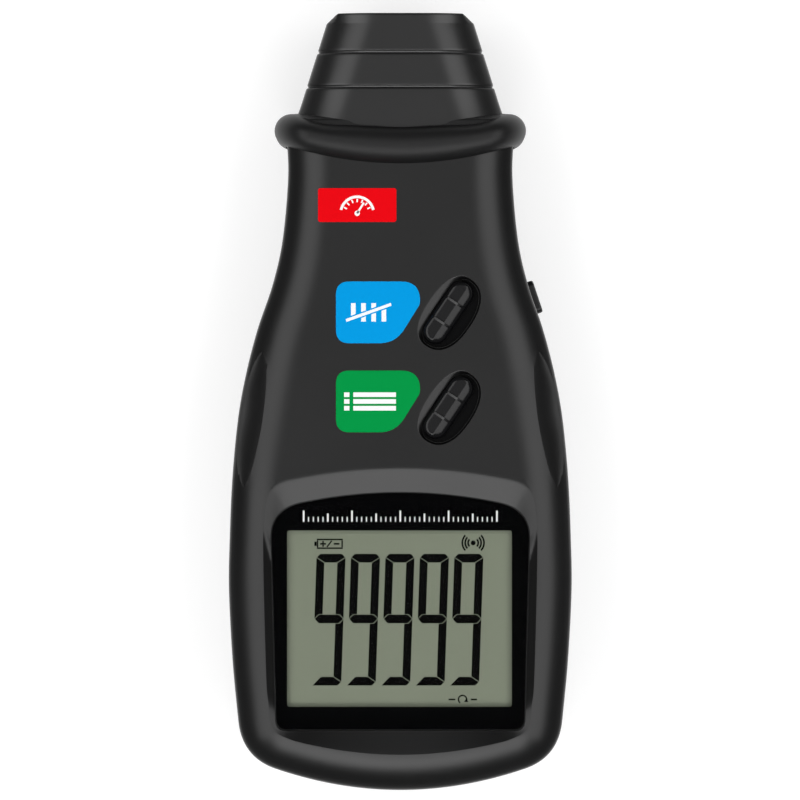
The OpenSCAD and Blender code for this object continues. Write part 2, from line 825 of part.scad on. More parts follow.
// Bead round the neck; its inside is stepped for the neck's end and the nose
module collar_ring() {
    base = section(neck_form, 0);
    m = len(base);
    middle = [for (p = base) neck_y + bead_ahead - bead_dip * (1 - pow(p.x / neck_form[0], 2))];
    lip = neck_y + fit;
    arc = [
        for (a = bead_angles)
            let (ring = section(neck_form, bead_r * sin(a) - bead_sink))
            [for (i = [0 : m - 1]) [ring[i].x, middle[i] + bead_r * cos(a), ring[i].y]]
    ];
    edge = [for (i = [0 : m - 1]) nose_ring(middle[i] + bead_r, collar_gap)[i]];
    step = [for (p = section(neck_form, collar_gap)) [p.x, lip, p.y]];
    rings = concat(arc, [edge, nose_ring(lip, collar_gap), step]);
    color("#1c1c1e") polyhedron(
        [for (ring = rings) each ring],
        wall_faces(len(rings), m, true)
    );
}

module front_filter() {
    color("#5a1014") translate([0, 0, nose_z]) along_y(filter_y, filter_t) filter_section(0);
}

// Display
module display_window() {
    color("#101214") translate([0, 0, window_z]) linear_extrude(window_t) panel(window_half(0));
}

module lcd_cell() {
    color("#7f8670") translate([0, cell_y, cell_z])
        linear_extrude(cell_t) square([cell_w, cell_l], center = true);
}

module lcd_frame() {
    color("#e6e6e2") translate([0, cell_y, board_top]) linear_extrude(ledge_z - gap - board_top)
        difference() {
            square([cell_w + 2 * gap + 2 * frame_wall, cell_l + 2 * gap + 2 * frame_wall], center = true);
            square([cell_w + 2 * gap, cell_l + 2 * gap], center = true);
        }
}

module contact_strips() {
    color("#d98ca0")
        for (s = [-1, 1])
            translate([0, cell_y + s * (cell_l / 2 - strip_in - strip_w / 2), board_top + strip_h / 2])
                cube([cell_w - 2 * strip_in, strip_w, strip_h], center = true);
}

// Keys
module key() {
    run_l = key_l - key_w;
    crest = body_t + key_out;
    difference() {
        union() {
            intersection() {
                translate([0, 0, flange_z - key_flange_t]) linear_extrude(body_t) slot(key_l, key_w);
                union() {
                    translate([0, 0, crest - key_crown_r]) {
                        rotate([0, 90, 0]) cylinder(r = key_crown_r, h = run_l, center = true);
                        for (x = [-1, 1])
                            translate([x * run_l / 2, 0, 0]) sphere(key_crown_r);
                        for (x = [-1, 1])
                            translate([x * key_rib_at, 0, 0]) rotate([0, 90, 0])
                                cylinder(r = key_crown_r + key_rib_h, h = key_rib_w, center = true);
                    }
                    translate([0, 0, flange_z - key_flange_t])
                        linear_extrude(crest - key_crown_r - flange_z + key_flange_t) slot(key_l, key_w);
                }
            }
            translate([0, 0, flange_z - key_flange_t])
                linear_extrude(key_flange_t) slot(key_l + 2 * key_flange_w, key_w + 2 * key_flange_w);
            translate([0, 0, plunger_top])
                cylinder(r = stem_r, h = flange_z - plunger_top);
        }
    }
}

module total_key() {
    color("#121214") at_key(0) key();
}

module memory_key() {
    color("#121214") at_key(1) key();
}

flange_x = -wall - side_flange_gap - side_flange_t;
side_plunger_x = flange_x - side_stem_l;
side_switch_x = side_plunger_x - plunger_out - switch_h;

module measure_key() {
    color("#161618") at_side_key() {
        along_x(flange_x, side_key_out - flange_x) rounded(side_key_l, side_key_h, side_key_r);
        along_x(flange_x, side_flange_t)
            rounded(side_key_l + 2 * side_flange_w, side_key_h + 2 * side_flange_w, side_key_r);
        translate([side_plunger_x, 0, 0]) rotate([0, 90, 0]) cylinder(r = stem_r, h = side_stem_l);
    }
}

// Switch that stands on its own +Z with its legs beside it
module switch_body() {
    difference() {
        translate([0, 0, switch_h / 2]) cube([switch_w, switch_w, switch_h], center = true);
        translate([0, 0, switch_h - well_d]) cylinder(r = plunger_r + fit, h = well_d + over);
    }
    for (x = [-1, 1], y = [-1, 1])
        translate([x * (switch_w + switch_leg_w) / 2, y * switch_w / 3, switch_leg_t / 2])
            cube([switch_leg_w, switch_leg_w, switch_leg_t], center = true);
}

module plunger() {
    translate([0, 0, switch_h + plunger_out - plunger_l]) cylinder(r = plunger_r, h = plunger_l);
}

module total_switch() {
    color("#1a1a1a") at_key(0) translate([0, 0, board_top]) switch_body();
}

module memory_switch() {
    color("#1a1a1a") at_key(1) translate([0, 0, board_top]) switch_body();
}

module measure_switch() {
    color("#1a1a1a") at_side_key() translate([side_switch_x, 0, 0]) rotate([0, 90, 0]) switch_body();
}

module total_plunger() {
    color("#b8b8b8") at_key(0) translate([0, 0, board_top]) plunger();
}

module memory_plunger() {
    color("#b8b8b8") at_key(1) translate([0, 0, board_top]) plunger();
}

module measure_plunger() {
    color("#b8b8b8") at_side_key() translate([side_switch_x, 0, 0]) rotate([0, 90, 0]) plunger();
}

// Labels
module key_label(y) {
    translate([label_x, y, body_t]) linear_extrude(label_t) difference() {
        rounded(label_w, label_l, label_r);
        translate([label_w / 2, -label_l / 2]) polygon([
            [over, -over], [over, label_cut.y], [0, label_cut.y], [-label_cut.x, 0], [-label_cut.x, -over]
        ]);
    }
}

module total_label() {
    color("#009de8") key_label(total_key_y + label_over);
}

module memory_label() {
    color("#009a44") key_label(total_key_y + label_over - label_pitch);
}

module badge_label() {
    color("#e60012") translate([badge_x, neck_y - badge_down, body_t])
        linear_extrude(label_t) rounded(badge_w, badge_l, badge_r);
}

// Electronics
module board_outline() {
    intersection() {
        panel(outline(wall + board_in));
        translate([-body_w / 2, tail_y + board_up]) square([body_w, case_l - board_up - board_down]);
    }
}

module main_board() {
    color("#1f6b3a") difference() {
        translate([0, 0, board_z]) linear_extrude(board_t) board_outline();
        for (p = boss_places)
            translate([p.x, p.y, board_z - over]) cylinder(r = rear_post_r + notch, h = board_t + 2 * over);
        for (p = post_places)
            translate([p.x, p.y, board_z - over]) cylinder(r = post_pilot_r + fit, h = board_t + 2 * over);
    }
}

module board_screws() {
    color("#9a9a9c")
        for (p = post_places)
            translate([p.x, p.y, board_z])
                screw(small_head_r, small_head_h, post_pilot_r - fit, small_screw_l);
}

module controller_chip() {
    color("#151515") translate([chip_x, window_top_y + chip_up, board_top]) {
        translate([0, 0, chip_t / 2]) cube([chip_w, chip_w, chip_t], center = true);
        for (s = [-1, 1], i = [0 : chip_legs - 1]) {
            place = (i - (chip_legs - 1) / 2) * chip_w / chip_legs;
            translate([s * (chip_w + chip_leg_l) / 2, place, chip_leg_w / 2])
                cube([chip_leg_l, chip_leg_w, chip_leg_w], center = true);
        }
    }
}

module quartz_crystal() {
    color("#c8c8ca")
        rod_y(crystal_x, window_top_y + post_up, board_top + crystal_r, crystal_r, crystal_l);
}

module board_capacitors() {
    color("#26323e")
        for (i = [0 : capacitor_count - 1])
            translate([capacitor_x, window_top_y + capacitor_up + i * capacitor_pitch, board_top])
                cylinder(r = capacitor_r, h = capacitor_h);
}

// Optics
module optics_holder() {
    laser_r = laser_d / 2 + fit;
    lens_r = lens_d / 2 + fit;
    tube_y = holder_y + holder_t;
    color("#222224") difference() {
        union() {
            translate([0, 0, nose_z]) along_y(holder_y, holder_t) rounded(holder_w, holder_h, holder_r);
            rod_y(laser_x, holder_y, nose_z, laser_r + tube_wall, laser_l);
            rod_y(lens_x, holder_y, nose_z, lens_r + tube_wall, holder_end - holder_y);
            translate([laser_x, tube_y - fit, nose_z - holder_web / 2])
                cube([lens_x - laser_x, laser_l - holder_t, holder_web]);
        }
        rod_y(laser_x, holder_y - over, nose_z, laser_r, laser_l + 2 * over);
        rod_y(lens_x, holder_y - over, nose_z, sensor_r + fit, holder_t + 2 * over);
        rod_y(lens_x, tube_y, nose_z, lens_r - lens_seat_w, holder_end - tube_y);
        rod_y(lens_x, holder_end - lens_in - lens_edge_t - lens_crown, nose_z, lens_r, lens_d);
        for (s = [-1, 1])
            rod_y(s * nose_boss_x, holder_y - over, nose_z, nose_pilot_r + fit, holder_t + 2 * over);
    }
}

module optics_screws() {
    color("#9a9a9c")
        for (s = [-1, 1])
            translate([s * nose_boss_x, holder_y, nose_z]) rotate([-90, 0, 0])
                screw(small_head_r, small_head_h, nose_pilot_r - fit, small_screw_l);
}

module laser_barrel() {
    color("#b08d3c") difference() {
        rod_y(laser_x, holder_y, nose_z, laser_d / 2, laser_l);
        rod_y(laser_x, holder_y - over, nose_z, laser_d / 2 - laser_wall, laser_l - laser_cap_t + over);
        rod_y(laser_x, holder_y, nose_z, laser_aperture_r, laser_l + over);
    }
}

module laser_lens() {
    color("#cfe4ea") rod_y(laser_x, holder_y + laser_l - laser_cap_t - laser_lens_t - fit, nose_z,
        laser_d / 2 - laser_wall - fit, laser_lens_t);
}

module laser_diode() {
    color("#c8c8ca") rod_y(laser_x, holder_y + fit, nose_z, laser_d / 2 - laser_wall - fit, diode_l);
}

module quarter_bend(bend_r, r) {
    rotate_extrude(angle = 90) translate([bend_r, 0]) circle(r);
}

// Wires leave the diode towards the tail and turn up to the board
module laser_leads() {
    color("#b03030")
        for (s = [-1, 1])
            translate([laser_x + s * lead_pitch / 2, 0, nose_z]) {
                rod_y(0, holder_y - lead_run, 0, lead_r, lead_run + fit);
                translate([0, holder_y - lead_run, lead_bend]) rotate([0, -90, 0]) rotate([0, 0, 180])
                    quarter_bend(lead_bend, lead_r);
                translate([0, holder_y - lead_run - lead_bend, lead_bend])
                    cylinder(r = lead_r, h = board_z - nose_z - lead_bend);
            }
}

module collecting_lens() {
    dome_r = lens_d / 2 - lens_rim;
    r = (dome_r * dome_r + lens_crown * lens_crown) / (2 * lens_crown);
    y = holder_end - lens_in - lens_edge_t - lens_crown;
    color("#d8e6ea") {
        rod_y(lens_x, y, nose_z, lens_d / 2, lens_edge_t);
        intersection() {
            rod_y(lens_x, y, nose_z, dome_r + fit, lens_edge_t + lens_crown);
            translate([lens_x, y + lens_edge_t + lens_crown - r, nose_z]) sphere(r);
        }
    }
}

module photo_sensor() {
    color("#2c2c34") {
        rod_y(lens_x, holder_y, nose_z, sensor_r, sensor_l - sensor_lens_r);
        translate([lens_x, holder_y + sensor_l - sensor_lens_r, nose_z]) sphere(sensor_lens_r);
    }
}

module sensor_board() {
    color("#1f6b3a") difference() {
        translate([0, sensor_board_y + sensor_board_t / 2, nose_z])
            cube([sensor_board_w, sensor_board_t, sensor_board_h], center = true);
        rod_y(laser_x, sensor_board_y - over, nose_z, laser_d / 2, sensor_board_t + 2 * over);
    }
}

module board_link() {
    z = board_top + link_h / 2;
    w = link_pins * link_pitch;
    y = neck_y - board_down - link_l;
    color("#1a1a1a") {
        translate([link_x - w / 2, y, board_top]) cube([w, link_l, link_h]);
        for (i = [0 : link_pins - 1]) {
            x = link_x + (i - (link_pins - 1) / 2) * link_pitch;
            translate([x - link_pin_w / 2, y + link_l - fit, z])
                cube([link_pin_w, sensor_board_y - y - link_l + fit, link_pin_w]);
        }
    }
}

// Battery
module battery() {
    color("#3c4650") translate([0, 0, battery_mid_z]) along_y(battery_low_y, battery_l)
        rounded(battery_w, battery_t, battery_r);
}

module battery_terminals() {
    color("#c8c8ca") {
        rod_y(-terminal_pitch / 2, battery_top_y, battery_mid_z, stud_r, terminal_h);
        difference() {
            rod_y(terminal_pitch / 2, battery_top_y, battery_mid_z, socket_r, terminal_h);
            rod_y(terminal_pitch / 2, battery_top_y + gap, battery_mid_z, socket_bore_r, terminal_h);
        }
    }
}

module battery_snap() {
    color("#18181a") translate([0, 0, battery_mid_z])
        along_y(snap_y, snap_t) rounded(snap_w, snap_h, battery_r);
}

module snap_contacts() {
    y = snap_y - contact_l;
    color("#c8c8ca") {
        rod_y(terminal_pitch / 2, y, battery_mid_z, socket_bore_r - fit, contact_l);
        difference() {
            rod_y(-terminal_pitch / 2, y, battery_mid_z, stud_r + fit + contact_wall, contact_l);
            rod_y(-terminal_pitch / 2, y - over, battery_mid_z, stud_r + fit, contact_l + 2 * over);
        }
    }
}

// Wires leave the bay through the hole in its end wall and turn up to the board
module battery_leads() {
    z = bay_ceiling - wire_drop;
    y = snap_y + snap_t;
    color("#a02828")
        for (s = [-1, 1])
            translate([s * wire_x, 0, 0]) {
                rod_y(0, y, z, wire_r, wire_run);
                translate([0, y + wire_run, z + wire_bend]) rotate([0, 90, 0])
                    quarter_bend(wire_bend, wire_r);
                translate([0, y + wire_run + wire_bend, z + wire_bend])
                    cylinder(r = wire_r, h = board_z - z - wire_bend);
            }
}

front_case();
rear_case();
battery_door();
nose_cone();
collar_ring();
front_filter();
display_window();
lcd_cell();
lcd_frame();
contact_strips();
total_key();
memory_key();
measure_key();
total_plunger();
memory_plunger();
measure_plunger();
total_switch();
memory_switch();
measure_switch();
total_label();
memory_label();
badge_label();
main_board();
controller_chip();
quartz_crystal();
board_capacitors();
board_screws();
case_screws();
optics_holder();
optics_screws();
laser_barrel();
laser_lens();
laser_diode();
laser_leads();
collecting_lens();
photo_sensor();
sensor_board();
board_link();
battery();
battery_terminals();
battery_snap();
snap_contacts();
battery_leads();
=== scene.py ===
from math import acos, atan, copysign, cos, degrees, exp, pi, radians, sin, sqrt, tan

import bmesh
import bpy
import numpy as np
from mathutils import Matrix, Vector


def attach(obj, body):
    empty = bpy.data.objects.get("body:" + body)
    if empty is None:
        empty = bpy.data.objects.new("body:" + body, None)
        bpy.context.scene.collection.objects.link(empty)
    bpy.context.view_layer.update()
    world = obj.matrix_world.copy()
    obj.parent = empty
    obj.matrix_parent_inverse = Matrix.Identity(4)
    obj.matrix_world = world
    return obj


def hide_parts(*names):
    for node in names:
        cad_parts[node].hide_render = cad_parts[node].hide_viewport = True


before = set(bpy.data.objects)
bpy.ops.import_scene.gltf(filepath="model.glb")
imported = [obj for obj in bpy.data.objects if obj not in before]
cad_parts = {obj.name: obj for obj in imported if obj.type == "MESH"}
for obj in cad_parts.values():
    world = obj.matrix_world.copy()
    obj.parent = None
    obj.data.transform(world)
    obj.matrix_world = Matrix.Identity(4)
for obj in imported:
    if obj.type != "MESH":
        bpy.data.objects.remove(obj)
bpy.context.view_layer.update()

# Sizes of the case in millimetres, as in the construction
MM = 0.001
TOTAL_L = 161.0
BODY_W = 71.0
BODY_T = 35.0
WALL = 2.2
SPLIT_Z = 15.0
NOSE_L = 25.5
NECK_LIFT = 4.0
LIFT_L = 26.0
LIFT_FLAT = 5.0
SHOULDER_H = 9.0
HEEL_W = 7.0
HEEL_H = 8.0
TAIL_SHOULDER = 6.2
TAIL_Y = -TOTAL_L / 2
TIP_Y = TOTAL_L / 2
NECK_Y = TIP_Y - NOSE_L
CASE_L = NECK_Y - TAIL_Y
NOSE_Z = (BODY_T + NECK_LIFT) / 2

# Share of the case length from the neck, share of its half width, shoulder width
SIDE_SHARES = [
    (0, 0.664, 5), (0.063, 0.6546, 5.2), (0.158, 0.6865, 5.6), (0.227, 0.7447, 6.5),
    (0.296, 0.8337, 7.6), (0.365, 0.9016, 8.8), (0.434, 0.9482, 9), (0.526, 0.981, 7),
    (0.618, 0.9959, 6), (0.694, 1, 6), (0.802, 0.9789, 6), (0.8935, 0.9456, 6),
]
CORNER_SHARES = [(0.8935, 0.9456), (0.9335, 0.931), (0.9564, 0.85), (0.9672, 0.73)]
TAIL_SHARES = [(0.9672, 0.73), (0.989, 0.487), (1, 0.243), (1, 0)]
SIDE_STEPS = 9
CORNER_STEPS = 20
TAIL_STEPS = 24
ROUND_STEPS = 14
SHOULDER_CUT = 0.818    # share of the shoulder's curve that lies inside the side wall
SHOULDER_RISE = 0.78


# Curves
def smooth(u):
    v = max(0.0, min(1.0, u))
    return v * v * (3 - 2 * v)


def back_z(y):
    return NECK_LIFT * smooth((y - (NECK_Y - LIFT_FLAT - LIFT_L)) / LIFT_L)


def bezier(points, u):
    points = [np.array(p, float) for p in points]
    while len(points) > 1:
        points = [a * (1 - u) + b * u for a, b in zip(points, points[1:])]
    return points[0]


def to_case(along, across, shoulder):
    return (across * BODY_W / 2, NECK_Y - along * CASE_L, shoulder)


def case_half():
    """Right half of the case outline from the neck to the middle of the tail: x, y, shoulder width."""
    shares = [np.array(row, float) for row in [SIDE_SHARES[0], *SIDE_SHARES, SIDE_SHARES[-1]]]
    points = []
    for a, b, c, d in zip(shares, shares[1:], shares[2:], shares[3:]):
        bends = [b, b + (c - a) / 6, c - (d - b) / 6, c]
        points += [to_case(*bezier(bends, i / SIDE_STEPS)) for i in range(SIDE_STEPS)]
    shoulder = SIDE_SHARES[-1][2]
    points += [to_case(*bezier(CORNER_SHARES, i / CORNER_STEPS), shoulder) for i in range(CORNER_STEPS)]
    for i in range(TAIL_STEPS + 1):
        u = i / TAIL_STEPS
        points.append(to_case(*bezier(TAIL_SHARES, u), shoulder + (TAIL_SHOULDER - shoulder) * smooth(u)))
    return np.array(points)


HALF = case_half()
SIDE = HALF[:(len(SIDE_SHARES) - 1) * SIDE_STEPS + CORNER_STEPS]


def side_x(y):
    return float(np.interp(-y, -SIDE[:, 1], SIDE[:, 0]))


def shoulder_at(y):
    return float(np.interp(-y, -SIDE[:, 1], SIDE[:, 2]))


def inward(half):
    """Unit normals of a half outline that point into the case."""
    d = np.gradient(half[:, :2], axis=0)
    d /= np.linalg.norm(d, axis=1)[:, None]
    n = np.stack([d[:, 1], -d[:, 0]], axis=1)
    n[0] = (-1, 0)
    n[-1] = (0, 1)
    return n


def clipped_half(top_y):
    """Half outline that starts at top_y in place of the neck's end."""
    inside = HALF[HALF[:, 1] < top_y - 0.2]
    return np.vstack([[side_x(top_y), top_y, shoulder_at(top_y)], inside])


def face_z(x, y):
    """Height of the case's upper surface over a place on the shoulder or the face."""
    slope = (side_x(y - 1) - side_x(y + 1)) / 2
    d = (side_x(y) - abs(x)) * cos(atan(slope))
    return BODY_T - shoulder_drop(max(0.0, d), soft_width(shoulder_at(y)))


# Meshes
def put_in_scene(name, data, at=(0, 0, 0)):
    obj = bpy.data.objects.new(name, data)
    bpy.context.scene.collection.objects.link(obj)
    obj.location = at
    return obj


def make_object(name, verts, faces, scale=MM):
    mesh = bpy.data.meshes.new(name)
    mesh.from_pydata([tuple(float(c) * scale for c in v) for v in verts], [], faces)
    mesh.validate()
    return put_in_scene(name, mesh)


def outward(obj):
    bm = bmesh.new()
    bm.from_mesh(obj.data)
    bmesh.ops.recalc_face_normals(bm, faces=bm.faces)
    bm.to_mesh(obj.data)
    bm.free()
    return obj


def skin(name, rings, caps=(), closed=False):
    """Mesh through rings of equally many points. Each cap lists places in the first and the last ring."""
    m, count = len(rings[0]), len(rings)
    faces = []
    for k in range(count if closed else count - 1):
        up = (k + 1) % count * m
        for i in range(m):
            j = (i + 1) % m
            faces.append((k * m + i, k * m + j, up + j, up + i))
    for cap in caps:
        faces.append(tuple(reversed(cap)))
        faces.append(tuple(v + (count - 1) * m for v in cap))
    return outward(make_object(name, [p for ring in rings for p in ring], faces))


def loft(name, rings, closed=False):
    """Solid through rings, with flat ends unless it closes on itself."""
    return skin(name, rings, () if closed else [range(len(rings[0]))], closed)


def whole(half):
    """Ring from its right half: the left half mirrors it, and points on the centre line come once."""
    low = 1 if abs(half[0][0]) < 1e-9 else 0
    high = len(half) - 1 if abs(half[-1][0]) < 1e-9 else len(half)
    left = [(-p[0],) + tuple(p[1:]) for p in half[low:high]][::-1]
    return [tuple(p) for p in half] + left


def mirrored_loft(name, layers):
    """Solid between layers given by their right halves, with caps in rows across the case."""
    rings = [whole(layer) for layer in layers]
    n, m = len(layers[0]), len(rings[0])
    b = 2 * n - m if abs(layers[0][0][0]) > 1e-9 else 1
    rows = []
    for i in range(n - 1):
        p, q = (2 * n - 1 - b - i) % m, (2 * n - 2 - b - i) % m
        rows.append([i, i + 1] + ([] if q == i + 1 else [q]) + ([] if p == i else [p]))
    return skin(name, rings, rows)


def stack(name, layers):
    """Solid through flat outlines, each given with its height."""
    return loft(name, [[(p[0], p[1], z) for p in outline] for outline, z in layers])


def prism(name, outline, z0, z1):
    return stack(name, [(outline, z0), (outline, z1)])


def block(name, low, high):
    (x0, y0, z0), (x1, y1, z1) = low, high
    return prism(name, [(x0, y0), (x1, y0), (x1, y1), (x0, y1)], z0, z1)


def along_y(name, outline, y0, y1):
    return loft(name, [[(p[0], y, p[1]) for p in outline] for y in (y0, y1)])


def round_rect(w, h, r, steps=8, centre=(0, 0)):
    points = []
    for k, (sx, sy) in enumerate([(1, 1), (-1, 1), (-1, -1), (1, -1)]):
        for i in range(steps + 1):
            a = radians(90 * k + 90 * i / steps)
            points.append((
                centre[0] + sx * (w / 2 - r) + r * cos(a),
                centre[1] + sy * (h / 2 - r) + r * sin(a),
            ))
    return points


def grown_rect(size, r, grow):
    """Rounded rectangle of a width and a height, larger all round by grow."""
    return round_rect(size[0] + 2 * grow, size[1] + 2 * grow, max(r + grow, LEAST_R))


def circle(r, n, centre=(0, 0)):
    return [
        (centre[0] + r * cos(2 * pi * i / n), centre[1] + r * sin(2 * pi * i / n))
        for i in range(n)
    ]


def slot_outline(l, w, round_n=16, side_n=1):
    """Rounded slot along X, counter-clockwise, with side_n stretches on each straight side."""
    run = (l - w) / 2
    points = []
    for k, side in enumerate((1, -1)):
        for i in range(round_n + 1):
            a = radians(-90 + 180 * k + 180 * i / round_n)
            points.append((side * run + w / 2 * cos(a), w / 2 * sin(a)))
        for j in range(1, side_n):
            points.append((side * run * (1 - 2 * j / side_n), side * w / 2))
    return points


def turned(points, angle, centre):
    c, s = cos(radians(angle)), sin(radians(angle))
    return [(centre[0] + p[0] * c - p[1] * s, centre[1] + p[0] * s + p[1] * c) for p in points]


def place(obj, angle, centre):
    """Turns a mesh about Z and moves it, in its vertices."""
    move = Matrix.Translation(Vector((*centre, 0)[:3]) * MM)
    obj.data.transform(move @ Matrix.Rotation(radians(angle), 4, "Z"))
    return obj


def drop(obj):
    mesh = obj.data
    bpy.data.objects.remove(obj)
    bpy.data.meshes.remove(mesh)


def boolean(obj, tools, operation="DIFFERENCE"):
    """Cuts or joins obj with each tool in turn and drops the tools."""
    for tool in tools:
        mod = obj.modifiers.new("cut", "BOOLEAN")
        mod.operation = operation
        mod.solver = "MANIFOLD"
        mod.object = tool
        bake(obj)
        drop(tool)
    return obj


def bake(obj):
    """Applies every modifier of obj."""
    deps = bpy.context.evaluated_depsgraph_get()
    deps.update()
    mesh = bpy.data.meshes.new_from_object(obj.evaluated_get(deps))
    old = obj.data
    obj.modifiers.clear()
    obj.data = mesh
    bpy.data.meshes.remove(old)
    return obj


def finish_mesh(obj, sharp, weld=0.002):
    """Welds close points, shades smooth up to an angle and lets large faces lead the normals."""
    bm = bmesh.new()
    bm.from_mesh(obj.data)
    bmesh.ops.remove_doubles(bm, verts=bm.verts, dist=weld * MM)
    bmesh.ops.dissolve_degenerate(bm, edges=bm.edges, dist=weld * MM)
    for face in bm.faces:
        face.smooth = True
    for edge in bm.edges:
        edge.smooth = edge.calc_face_angle(0.0) < radians(sharp)
    bm.to_mesh(obj.data)
    bm.free()
    mod = obj.modifiers.new("normals", "WEIGHTED_NORMAL")
    mod.keep_sharp = True
    mod.weight = 100
    return bake(obj)


def dress(obj, material, body, nodes=(), sharp=32):
    """Finishes a piece, gives it its material and its body, and hides the construction nodes that it stands
    for.
    """
    finish_mesh(obj, sharp)
    obj.data.materials.clear()
    obj.data.materials.append(material)
    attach(obj, body)
    if nodes:
        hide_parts(*nodes)
    return obj


# Materials
def add_node(tree, kind, **values):
    node = tree.nodes.new("ShaderNode" + kind)
    fill(node, values)
    return node


def fill(node, values):
    """Sets inputs by their names, with a low line for each space."""
    for key, value in values.items():
        node.inputs[key.replace("_", " ")].default_value = value


def shader(name, color, rough, gloss=0.5, **values):
    mat = bpy.data.materials.new(name)
    mat.use_nodes = True
    tree = mat.node_tree
    bsdf = tree.nodes["Principled BSDF"]
    fill(bsdf, {"Base Color": (*color, 1), "Roughness": rough, "Specular IOR Level": gloss, **values})
    return mat, tree, bsdf


def noise(tree, scale, detail, rough):
    coords = add_node(tree, "TexCoord")
    node = add_node(tree, "TexNoise", Scale=scale, Detail=detail, Roughness=rough)
    tree.links.new(coords.outputs["Object"], node.inputs["Vector"])
    return node.outputs["Fac"]


def vary_gloss(tree, shaded, source, low, high):
    node = add_node(tree, "MapRange", To_Min=low, To_Max=high)
    tree.links.new(source, node.inputs["Value"])
    tree.links.new(node.outputs["Result"], shaded.inputs["Roughness"])


def bump(tree, bsdf, height, strength, distance):
    node = add_node(tree, "Bump", Strength=strength, Distance=distance)
    tree.links.new(height, node.inputs["Height"])
    tree.links.new(node.outputs["Normal"], bsdf.inputs["Normal"])


def tinted(tree, bsdf, source, color, low, high):
    """Lets the colour run between two shares of itself."""
    mix = add_node(tree, "Mix")
    mix.data_type = "RGBA"
    mix.inputs[6].default_value = (*[c * low for c in color], 1)
    mix.inputs[7].default_value = (*[c * high for c in color], 1)
    tree.links.new(source, mix.inputs[0])
    tree.links.new(mix.outputs[2], bsdf.inputs["Base Color"])


def moulded(name, color, rough, grain=0.05, spread=0.1, **values):
    """Moulded plastic: fine spark-eroded grain, and slow changes of tone and gloss."""
    mat, tree, bsdf = shader(name, color, rough, **values)
    fine, slow = noise(tree, 2600, 3, 0.6), noise(tree, 38, 3, 0.55)
    tinted(tree, bsdf, slow, color, 1 - spread, 1 + spread)
    vary_gloss(tree, bsdf, slow, rough - 0.04, rough + 0.04)
    bump(tree, bsdf, fine, grain, 0.00006)
    return mat


def varied(name, color, rough, texture, tones, glosses, relief, **values):
    """Shader whose tone, gloss and relief follow one noise."""
    mat, tree, bsdf = shader(name, color, rough, **values)
    source = noise(tree, *texture)
    tinted(tree, bsdf, source, color, *tones)
    vary_gloss(tree, bsdf, source, *(rough * share for share in glosses))
    bump(tree, bsdf, source, *relief)
    return mat


def glossy(name, color, rough, **values):
    """Polished plastic with faint flow marks and handling haze."""
    return varied(name, color, rough, (160, 4, 0.6), (0.85, 1.15), (0.8, 1.25), (0.03, 0.00003), **values)


def metal(name, color, rough):
    """Plated or turned metal with fine streaks."""
    return varied(name, color, rough, (900, 4, 0.7), (0.9, 1), (0.8, 1.3), (0.05, 0.00002), Metallic=1.0)


def printed(name, color, rough=0.38, gloss=0.06):
    """Printed film: even ink with a trace of screen texture."""
    return varied(name, color, rough, (1500, 2, 0.5), (0.95, 1), (1, 1), (0.04, 0.00002), gloss=gloss)


def pane(name, tint, ior, rough=0.02):
    """Thin clear pane: what lies behind shows through it, and it mirrors a little at all angles."""
    mat, tree, bsdf = shader(name, tint, rough)
    tree.nodes.remove(bsdf)
    out = tree.nodes["Material Output"]
    mix = add_node(tree, "MixShader")
    clear = add_node(tree, "BsdfTransparent", Color=(*tint, 1))
    gloss = add_node(tree, "BsdfGlossy")
    vary_gloss(tree, gloss, noise(tree, 90, 3, 0.5), rough, rough * 2)
    fresnel = add_node(tree, "Fresnel", IOR=ior)
    tree.links.new(fresnel.outputs["Fac"], mix.inputs["Fac"])
    tree.links.new(clear.outputs[0], mix.inputs[1])
    tree.links.new(gloss.outputs[0], mix.inputs[2])
    tree.links.new(mix.outputs[0], out.inputs["Surface"])
    return mat


def glass(name, color):
    mat, tree, bsdf = shader(name, color, 0.03, IOR=1.5, Transmission_Weight=1.0)
    vary_gloss(tree, bsdf, noise(tree, 120, 2, 0.5), 0.02, 0.05)
    return mat


CASE = moulded("case_plastic", (0.004, 0.004, 0.0041), 0.31, grain=0.06, gloss=0.36)
NOSE = moulded("nose_plastic", (0.0045, 0.0045, 0.0046), 0.3, gloss=0.6)
BEAD = moulded("bead_rubber", (0.0065, 0.0065, 0.0067), 0.44, gloss=0.26)
KEY = glossy("key_plastic", (0.0035, 0.0035, 0.004), 0.19, gloss=0.27)
SIDE_KEY = glossy("side_key_plastic", (0.005, 0.005, 0.0055), 0.3, gloss=0.36)
PRINT = printed("window_print", (0.0008, 0.0008, 0.001), 0.5, 0.0)
BLUE = printed("blue_film", (0.0, 0.285, 0.665), gloss=0.03)
GREEN = printed("green_film", (0.0, 0.262, 0.051), gloss=0.03)
RED = printed("red_film", (0.72, 0.001, 0.005), gloss=0.03)
WHITE = printed("white_ink", (0.84, 0.84, 0.84))
WINDOW = pane("window_pane", (0.97, 0.98, 0.97), 1.1)
FILTER = glossy("filter_pane", (0.19, 0.0015, 0.003), 0.07, Alpha=0.86)
CLEAR = glossy("pane_back", (0.01, 0.011, 0.01), 0.1, Alpha=0.02, gloss=0.0)
LCD = moulded("lcd_back", (0.151, 0.169, 0.119), 0.42, grain=0.02, spread=0.02)
SEGMENT = printed("lcd_segment", (0.0015, 0.0015, 0.0015), 0.45, 0.01)
LENS = glass("lens_glass", (0.93, 0.97, 0.98))
STEEL = metal("plated_steel", (0.62, 0.62, 0.64), 0.3)
BRASS = metal("turned_brass", (0.75, 0.58, 0.27), 0.3)
WHITE_PLASTIC = moulded("white_plastic", (0.78, 0.78, 0.75), 0.5)
STRIP = moulded("strip_rubber", (0.72, 0.32, 0.4), 0.6, grain=0.12)
